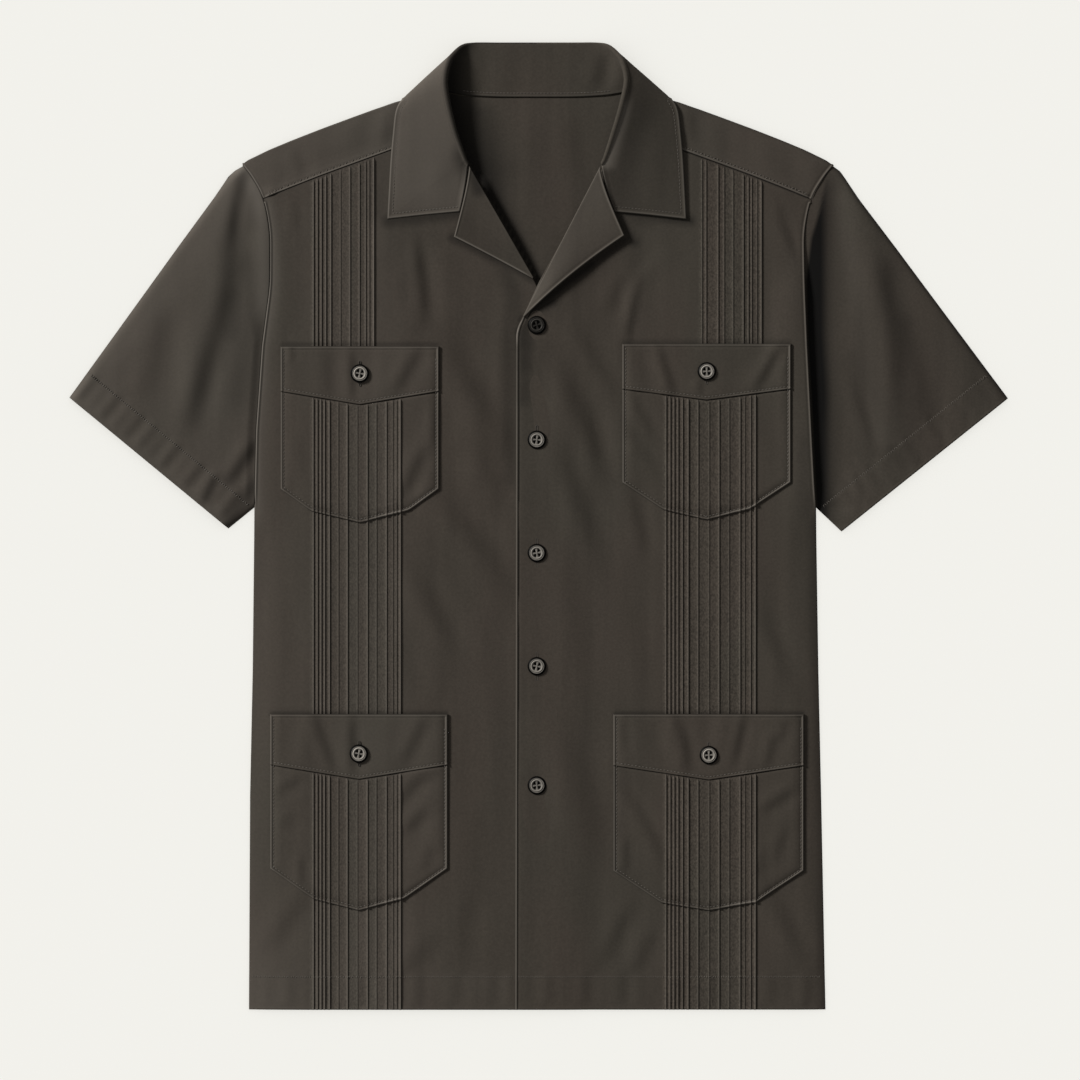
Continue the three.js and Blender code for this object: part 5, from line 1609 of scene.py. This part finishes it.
def build_sleeve(s):
    """A flattened tube of cloth: a ring for each place along the sleeve, its upper face finely
    divided, its lower face flat, with a wall inward and an open cuff."""
    across = np.concatenate([[0.0], spread(290, 2.6)[2:-2], [1.0]])
    along = spread(220, 2.0)
    x, y = sleeve_plan(s, *np.meshgrid(along, across, indexing="ij"))
    to_cuff, cuff_s = path_distance(x, y, cuff_line(s))
    arm, fold, under = (
        distance(x, y, np.stack(sleeve_plan(s, *place), -1))
        for place in ((np.zeros(50), np.linspace(0, 1, 50)), (np.linspace(0, 1, 40), np.zeros(40)),
                      (np.linspace(0, 1, 40), np.ones(40))))
    to = Record(cuff=to_cuff, arm=arm, fold=fold)
    fall = np.minimum(fold, under)
    level = 1.2  # height of the folded edges
    z = sleeve_top(s, x, y) + ripple(x, y, 0.8)
    z = level + (z - level) * np.sqrt(1 - np.clip(1 - fall / 7, 0, 1) ** 2)
    z = z - 0.5 * np.exp(-fold / 12)
    z = z + cuff_relief(to_cuff, cuff_s) * ease(fall / 5) - rim(to_cuff) - rim(arm)
    upper = np.stack([x, y, np.maximum(z, 1.15)], -1)
    back = np.linspace(1, 0, 16)[1:-1]
    lower_x, lower_y = sleeve_plan(s, along[:, None] + 0 * back, 0 * along[:, None] + back)
    outer = np.concatenate([upper, np.stack([lower_x, lower_y, 0 * lower_x], -1)], 1)
    inner = outer.copy()
    inner[:, :len(across), 2] = np.maximum(upper[..., 2] - WALL + rim(to_cuff) + rim(arm), 1.02)
    inner[:, len(across):, 2] = WALL
    folds = [0, len(across) - 1]
    inward = (np.mean(outer, axis=1, keepdims=True) - inner)[:, folds, :2]
    reach = np.linalg.norm(inward, axis=-1, keepdims=True)
    inner[:, folds, :2] += inward * np.minimum(WALL / np.maximum(reach, 1e-6), 0.5)
    n, m = outer.shape[:2]
    marks = {"wear_and_painted_light": np.zeros((2, n, m)), "painted_shade": np.zeros((2, n, m))}
    # The whole right sleeve is made lighter; then the upper face takes its own wear, painted light
    # and painted shade.
    if s.side < 0:
        marks["wear_and_painted_light"][0] = 0.14
    marks["wear_and_painted_light"][0, :, :len(across)] = sleeve_wear_and_painted_light(s, x, y, to)
    marks["painted_shade"][0, :, :len(across)] = sleeve_painted_shade(s, x, y, to)
    points = np.concatenate([outer.reshape(-1, 3), inner.reshape(-1, 3)])
    obj = make_object("cloth_" + s.name, points, tube_faces(n, m, s.side > 0),
                      cloth_material("shirting"), {k: v.ravel() for k, v in marks.items()})
    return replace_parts(obj, s.name)


# ---------------------------------------------------------------- buttons
def button_arrays(radius, height):
    """A four-hole button as one closed surface of turning. Its face is a function of radius and
    angle: a bevel, a rim, a groove, an inner ring, a well and four holes parted by a cross; painted
    shade darkens the bevel, groove and holes, and a painted highlight marks the inner ring."""
    r = np.array([*np.linspace(0, 0.54, 24), *np.linspace(0.56, 0.83, 15), 0.86, 0.90, 0.94, 0.98])
    angle = np.linspace(0, 2 * math.pi, 80, endpoint=False)
    rr, aa = np.meshgrid(r * radius, angle, indexing="ij")
    f = rr / radius
    z = 0.78 + 0.20 * hump((f - 0.60) / 0.06) - 0.12 * hump((f - 0.70) / 0.04)
    z = z + 0.08 * hump((f - 0.75) / 0.04)
    z = height * (z - 0.12 * ease((0.54 - f) / 0.08) - 0.6 * ease((f - 0.78) / 0.17))
    x, y = rr * np.cos(aa) / radius, rr * np.sin(aa) / radius
    well = ease((0.49 - np.hypot(x * 1.04, y * 0.92)) / 0.05)
    gap_x = 0.055 + 0.06 * np.square(y / 0.4)
    gap_y = 0.06 * np.square(x / 0.4)
    hole = well * ease((np.abs(x) - gap_x) / 0.05) * ease((np.abs(y) - 0.045 - gap_y) / 0.05)
    z = z - height * 0.5 * hole + height * 0.10 * hump(x / 0.09) * hump(y / 0.3)
    face = np.stack([x * radius, y * radius, z], -1)
    side_r = np.array((1.0, 1.0, 0.96, 0.6, 0.2))[:, None] * radius
    side_z = np.array((0.30, 0.20, 0.04, 0.0, 0.0))[:, None] * height
    below = np.stack([side_r * np.cos(angle), side_r * np.sin(angle), side_z + 0 * angle], -1)
    grid = np.concatenate([face[1:], below])
    n, m = grid.shape[:2]
    wrapped = wrapped_numbers(n, m)
    poles = np.array([(0, 0, face[0, 0, 2]), (0, 0, 0)])
    top = np.stack([np.full(m, n * m), wrapped[0, :-1], wrapped[0, 1:]], -1)
    bottom = np.stack([np.full(m, n * m + 1), wrapped[-1, 1:], wrapped[-1, :-1]], -1)
    points = np.concatenate([grid.reshape(-1, 3), poles])
    # Painted shade in the holes, on the bevel, underside and groove, and where the inner ring takes
    # its painted highlight.
    dark = strongest(hole, ease((f - 0.77) / 0.05), 0.5 * hump((f - 0.68) / 0.03))
    dark = np.concatenate([dark[1:].ravel(), np.ones(len(below) * m), [0, 0]])
    ring = np.zeros(len(dark))
    ring[: (len(f) - 1) * m] = (hump((f[1:] - 0.62) / 0.06) * (1 - hole[1:])).ravel()
    return points, [grid_faces(wrapped), top, bottom], dark, ring


def build_button(node, x, y, z, turn, shade, ring_highlight):
    """A button at a place, turned a little about its middle; shade is an even painted shadow over
    it, and the last value is the strength of a painted highlight on its inner ring."""
    values = sizes().buttons
    points, faces, dark, ring = button_arrays(values.radius / MM, values.height / MM)
    c, s = math.cos(turn), math.sin(turn)
    points = points @ np.array(((c, s, 0), (-s, c, 0), (0, 0, 1))) + np.array((x, y, z))
    # Painted shade, with an even painted shadow over the whole button, and the painted highlight on
    # the ring.
    marks = {"painted_shade": np.maximum(dark, shade), "ring": ring * ring_highlight}
    obj = make_object(node.replace("button", "resin_button"), points, faces,
                      button_material("horn_resin"), marks)
    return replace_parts(obj, node)


# ---------------------------------------------------------------- stitches
def resample(path, pitch):
    """Points every pitch mm along a line of points (n x 3), with the direction there."""
    step = np.linalg.norm(np.diff(path, axis=0), axis=1)
    s = np.concatenate([[0], np.cumsum(step)])
    at = np.arange(1.5, s[-1] - 1.0, pitch)
    point = np.stack([np.interp(at, s, c) for c in path.T], -1)
    ahead = np.stack([np.interp(at + 0.6, s, c) - np.interp(at - 0.6, s, c) for c in path.T], -1)
    return point, unit(ahead)


def stitch_row(path, pitch=3.0, length=2.1, sink=0.05, slant=0.0):
    """Short threads along a path that lies on the cloth: each an arc from hole to hole, turned
    from the path by the slant (radians), this way and that in turn."""
    point, ahead = resample(np.asarray(path, float), pitch)
    turn = slant * np.where(np.arange(len(point)) % 2, 1.0, -1.0)
    c, s = np.cos(turn), np.sin(turn)
    dx, dy, dz = ahead.T
    ahead = np.stack([dx * c - dy * s, dx * s + dy * c, dz], -1)
    t = np.linspace(-0.5, 0.5, 5)
    rows = point[:, None] + ahead[:, None] * (t * length)[None, :, None]
    rows[..., 2] += (0.22 * (1 - (2 * t) ** 2) - sink)[None, :]
    return rows


def add_stitches(name, rows):
    points, faces = tube_along(np.concatenate(rows), THREAD_RADIUS, 5)
    return make_object(name, points, faces, thread_material("sewing_thread"))


def inset_line(path, inside, distance):
    """A plan line moved towards a point by a distance, square to itself."""
    path = np.asarray(path, float)
    ahead = np.gradient(path, axis=0)
    n = unit(np.stack([-ahead[:, 1], ahead[:, 0]], -1))
    flip = np.sign(np.sum(n * (np.asarray(inside) - path), -1, keepdims=True))
    return path + n * flip * distance


def front_face(side, x, y):
    return front_surface(side, x, y) + WALL / 2


def hem_stitches():
    """A row round the hem of both fronts."""
    rows = []
    hem = HEM_Y + HEM_DEPTH
    for side in (-1, 1):
        left, right = sorted((float(edge_x(side, hem)), float(front_edge_x(side, hem))))
        x = np.linspace(left + 2, right - 2, 500)
        if side < 0:
            x = x[x < float(front_edge_x(1, hem)) - 1]
        y = np.full(len(x), hem)
        z = front_face(side, x, y) + tuck_relief(side, x, y)
        z = z + hem_ripple(x, HEM_DEPTH, HEM_DEPTH) - 0.02
        rows.append(stitch_row(np.column_stack([x, y, z]), 1.9, 1.9, 0.0, 0.9))
    return add_stitches("stitches_hem", rows)


def cuff_stitches():
    """A row round each cuff."""
    rows = []
    for s in SLEEVES:
        w = np.linspace(0.015, 0.985, 300)
        last_tenth = np.subtract(sleeve_plan(s, 1.0, w), sleeve_plan(s, 0.9, w))
        length = np.linalg.norm(last_tenth, axis=0) / 0.1
        x, y = sleeve_plan(s, 1 - CUFF_DEPTH / length, w)
        relief = cuff_relief(*path_distance(x, y, cuff_line(s)))
        z = sleeve_top(s, x, y) + ripple(x, y, 0.8) + relief - 0.04
        rows.append(stitch_row(np.column_stack([x, y, z]), 1.9, 2.4, 0.0, 1.2))
    return add_stitches("stitches_cuffs", rows)


def pocket_stitches():
    """Rows inside the edge of each pocket and above the line of its band."""
    rows = []
    for p in POCKETS:
        outline = pocket_outline(p)
        dense = np.concatenate([np.linspace(a, b, 12, endpoint=False)
                                for a, b in zip(outline[:-1], outline[1:])])
        line = inset_line(dense, (middle_x(p), p.band_mid), 3.0)
        x, y = line[(line[:, 0] > p.x0 + 2.9) & (line[:, 0] < p.x1 - 2.9)].T
        z = pocket_base(p, x, y) + WALL / 2 + np.where(y > band_line(p, x), 0.5, 0) - 0.12
        rows.append(stitch_row(np.column_stack([x, y, z])))
        x = np.linspace(p.x0 + 3, p.x1 - 3, 120)
        y = band_line(p, x) + 2.6
        z = pocket_base(p, x, y) + BAND_FACE - 0.12 + creases(x, y, BAND_CREASES[p.name])
        rows.append(stitch_row(np.column_stack([x, y, z])))
    return add_stitches("stitches_pockets", rows)


def grid_height(grid, x, y):
    """Height of the nearest point of a grid."""
    flat = grid.reshape(-1, 3)
    d = (flat[None, :, 0] - x[:, None]) ** 2 + (flat[None, :, 1] - y[:, None]) ** 2
    return flat[d.argmin(1), 2]


def collar_stitches():
    """A row inside the outer edges of the leaves, and one above the neck seam at the back."""
    grid, n_stand, n_roll, station = collar_grid()
    rows = []
    half = len(grid) // 2
    for pick in (slice(half, None), slice(half, None, -1)):
        fall = grid[pick][station[pick] > 5.0, n_stand + n_roll:][:, ::-1]
        d = distance(fall[..., 0], fall[..., 1], fall[:, 0, :2])
        k = np.argmax(d > 4.2, axis=1)
        each = np.arange(len(k))
        f = (4.2 - d[each, k - 1]) / (d[each, k] - d[each, k - 1])
        line = mix(fall[each, k - 1], fall[each, k], f[:, None])[k > 0]
        rows.append(stitch_row(line + np.array((0, 0, 0.42)), pitch=2.8))
    neck = grid[station < 3.3, :n_stand]
    xs = np.linspace(-62, 62, 160) + CENTRE_X
    ys = np.interp(xs, neck[:, 0, 0], neck[:, 0, 1]) + 3.2
    rows.append(stitch_row(np.column_stack([xs, ys, grid_height(neck, xs, ys) + 0.42]), pitch=2.8))
    return add_stitches("stitches_collar", rows)


def shoulder_stitches():
    """A row above each forward shoulder seam and beside each armhole seam."""
    rows = []
    for side in (-1, 1):
        d = np.linspace(122, 226, 160)
        x = CENTRE_X + side * d
        y = seam_y(x) + 2.9
        z = FRONT_Z + FRONT_FULL + WALL / 2 + armhole_lift(side, x, y)
        z = z + creases(x, y, SHOULDER_CREASES) + 0.2 * ease((228 - d) / 8)
        rows.append(stitch_row(np.column_stack([x, y, z]), 2.9, 2.3, 0.0, 0.8))
    return add_stitches("stitches_shoulders", rows)


def buttonhole_loop(x, y, z, length):
    """A stitched slot: a closed loop of cord, two straight sides and two half circles."""
    width = 1.7
    a = np.linspace(0, 2 * math.pi, 40)
    straight = (length - width) / 2
    px = x + width / 2 * np.cos(a)
    reach = straight * np.sign(np.sin(a)) * np.minimum(1, np.abs(np.sin(a)) * 4)
    py = y + width / 2 * np.sin(a) + reach
    return np.stack([px, py, 0 * px + z], -1)


def placket_height(y):
    """Height of the left front's face on the centre line."""
    return float(front_face(1, np.array(CENTRE_X), np.array(y)))


def band_height(p):
    """Height of a band's face at its button."""
    return float(pocket_base(p, np.array(middle_x(p)), np.array(p.button))) + BAND_FACE


def build_buttonholes():
    """The slots under the buttons, upright on the front and on the pocket bands."""
    loops = [buttonhole_loop(CENTRE_X, y, placket_height(y) + 0.1, 24.0 if y < 150 else 15.0)
             for y in FRONT_BUTTONS]
    loops += [buttonhole_loop(middle_x(p), p.button, band_height(p) - 0.45, 21.0) for p in POCKETS]
    points, faces = tube_along(np.stack(loops), CORD_RADIUS, 6)
    thread = thread_material("buttonhole_thread", 0.45)
    return make_object("buttonholes", points, faces, thread)


# ---------------------------------------------------------------- operators
class SHIRT_OT_stage(bpy.types.Operator):
    """Make the pale floor, the soft light from the upper left, the fill and the camera above."""

    bl_idname = "shirt.stage"
    bl_label = "Stage"

    def execute(self, context):
        light = sizes().light
        mesh = bpy.data.meshes.new("floor")
        reach, drop = 12.0, 0.0004  # half the floor's width, and its depth below the cloth
        corners = ((-reach, -reach), (reach, -reach), (reach, reach), (-reach, reach))
        mesh.from_pydata([(x, y, -drop) for x, y in corners], [], [(0, 1, 2, 3)])
        mesh.materials.append(floor_material("pale_floor"))
        floor = bpy.data.objects.new("floor", mesh)
        context.scene.collection.objects.link(floor)

        table = bpy.data.collections.new("table")
        table.objects.link(floor)
        travel = Vector((*(LAMP_AWAY * math.cos(LAMP_HEIGHT)), -math.sin(LAMP_HEIGHT)))
        for name, lit, shadow in (("window", shirt_pieces(), True), ("table_light", table, False)):
            lamp = bpy.data.lights.new(name, "SUN")
            lamp.energy = light.lamp
            lamp.angle = light.softness
            lamp.color = LAMP_COLOUR
            lamp.use_shadow = shadow
            window = bpy.data.objects.new(name, lamp)
            window.rotation_euler = travel.to_track_quat("-Z", "Y").to_euler()
            window.location = tuple(-travel * 2)
            context.scene.collection.objects.link(window)
            window.light_linking.receiver_collection = lit

        world = bpy.data.worlds.new("fill")
        world.use_nodes = True
        background = world.node_tree.nodes["Background"]
        background.inputs["Color"].default_value = (1, 1, 1, 1)
        background.inputs["Strength"].default_value = light.fill
        context.scene.world = world

        camera_data = bpy.data.cameras.new("above")
        camera_data.sensor_width = 36
        camera_data.lens = camera_data.sensor_width * CAMERA_AT[2] / CAMERA_VIEW
        camera_data.clip_end = 20
        camera = bpy.data.objects.new("above", camera_data)
        camera.location = CAMERA_AT
        context.scene.collection.objects.link(camera)
        context.scene.camera = camera
        context.scene.view_settings.view_transform = "Standard"
        context.scene.view_settings.look = "None"
        return {"FINISHED"}


class SHIRT_OT_back(bpy.types.Operator):
    """Lay the back flat, in one with the shoulders that turn over to the forward seams."""

    bl_idname = "shirt.back"
    bl_label = "Back"

    def execute(self, context):
        obj = build_back()
        return {"FINISHED"}


class SHIRT_OT_fronts(bpy.types.Operator):
    """Lay the two tucked fronts on the back, the left one lapped over the right one."""

    bl_idname = "shirt.fronts"
    bl_label = "Fronts"

    def execute(self, context):
        for side in (-1, 1):
            obj = build_front(side)
        return {"FINISHED"}


class SHIRT_OT_pockets(bpy.types.Operator):
    """Put the four patch pockets and their bands on the fronts."""

    bl_idname = "shirt.pockets"
    bl_label = "Pockets"

    def execute(self, context):
        for p in POCKETS:
            pocket = build_pocket(p)
            band = build_band(p)
        return {"FINISHED"}


class SHIRT_OT_lapels(bpy.types.Operator):
    """Turn back the two lapels along their roll lines."""

    bl_idname = "shirt.lapels"
    bl_label = "Lapels"

    def execute(self, context):
        for lapel in LAPELS:
            obj = build_lapel(lapel)
        return {"FINISHED"}


class SHIRT_OT_collar(bpy.types.Operator):
    """Roll the collar from the neck seam over to its leaves."""

    bl_idname = "shirt.collar"
    bl_label = "Collar"

    def execute(self, context):
        obj = build_collar()
        return {"FINISHED"}


class SHIRT_OT_sleeves(bpy.types.Operator):
    """Lay the two short sleeves flat beside the body, open at the cuffs."""

    bl_idname = "shirt.sleeves"
    bl_label = "Sleeves"

    def execute(self, context):
        for s in SLEEVES:
            obj = build_sleeve(s)
        return {"FINISHED"}


class SHIRT_OT_buttons(bpy.types.Operator):
    """Set the nine buttons, five on the front and one on each pocket, with their buttonholes."""

    bl_idname = "shirt.buttons"
    bl_label = "Buttons"

    def execute(self, context):
        for k, (y, look) in enumerate(zip(FRONT_BUTTONS, FRONT_BUTTON_LOOKS), 1):
            build_button(f"button_front_{k}", CENTRE_X, y, placket_height(y) + 0.3, *look)
        for p in POCKETS:
            build_button("button_" + p.name, middle_x(p), p.button, band_height(p) - 0.35 + 0.3,
                         p.x0 / 1200, 0, 1.0 if p.x0 < 0 else 0.8)
        build_buttonholes()
        return {"FINISHED"}


class SHIRT_OT_stitches(bpy.types.Operator):
    """Sew the rows of stitches along the hem, cuffs, pockets, shoulders and collar."""

    bl_idname = "shirt.stitches"
    bl_label = "Stitches"

    def execute(self, context):
        hem_stitches()
        cuff_stitches()
        pocket_stitches()
        shoulder_stitches()
        collar_stitches()
        return {"FINISHED"}


class SHIRT_PT_pieces(bpy.types.Panel):
    """Lists the steps and the values of the shirt."""

    bl_idname = "SHIRT_PT_pieces"
    bl_label = "Camp Shirt"
    bl_space_type = "VIEW_3D"
    bl_region_type = "UI"
    bl_category = "Shirt"

    def draw(self, context):
        for step in STEPS:
            self.layout.operator(step.bl_idname)
        values = sizes()
        for group, names in (
            (values.cloth, ("olive", "umber", "rubbed_and_painted_light", "thread", "crease_depth")),
            (values.buttons, ("radius", "height", "colour")),
            (values.light, ("floor", "lamp", "fill", "softness")),
        ):
            for name in names:
                self.layout.prop(group, name)


STEPS = (
    SHIRT_OT_stage, SHIRT_OT_back, SHIRT_OT_fronts, SHIRT_OT_pockets, SHIRT_OT_lapels,
    SHIRT_OT_collar, SHIRT_OT_sleeves, SHIRT_OT_buttons, SHIRT_OT_stitches,
)
CLASSES = (ShirtCloth, ShirtButtons, ShirtLight, ShirtSizes, *STEPS, SHIRT_PT_pieces)


def register():
    for c in CLASSES:
        bpy.utils.register_class(c)
    bpy.types.Scene.camp_shirt = PointerProperty(type=ShirtSizes)


def unregister():
    del bpy.types.Scene.camp_shirt
    for c in reversed(CLASSES):
        bpy.utils.unregister_class(c)


def main():
    register()
    for step in STEPS:
        group, name = step.bl_idname.split(".")
        getattr(getattr(bpy.ops, group), name)()


if __name__ == "__main__":
    main()
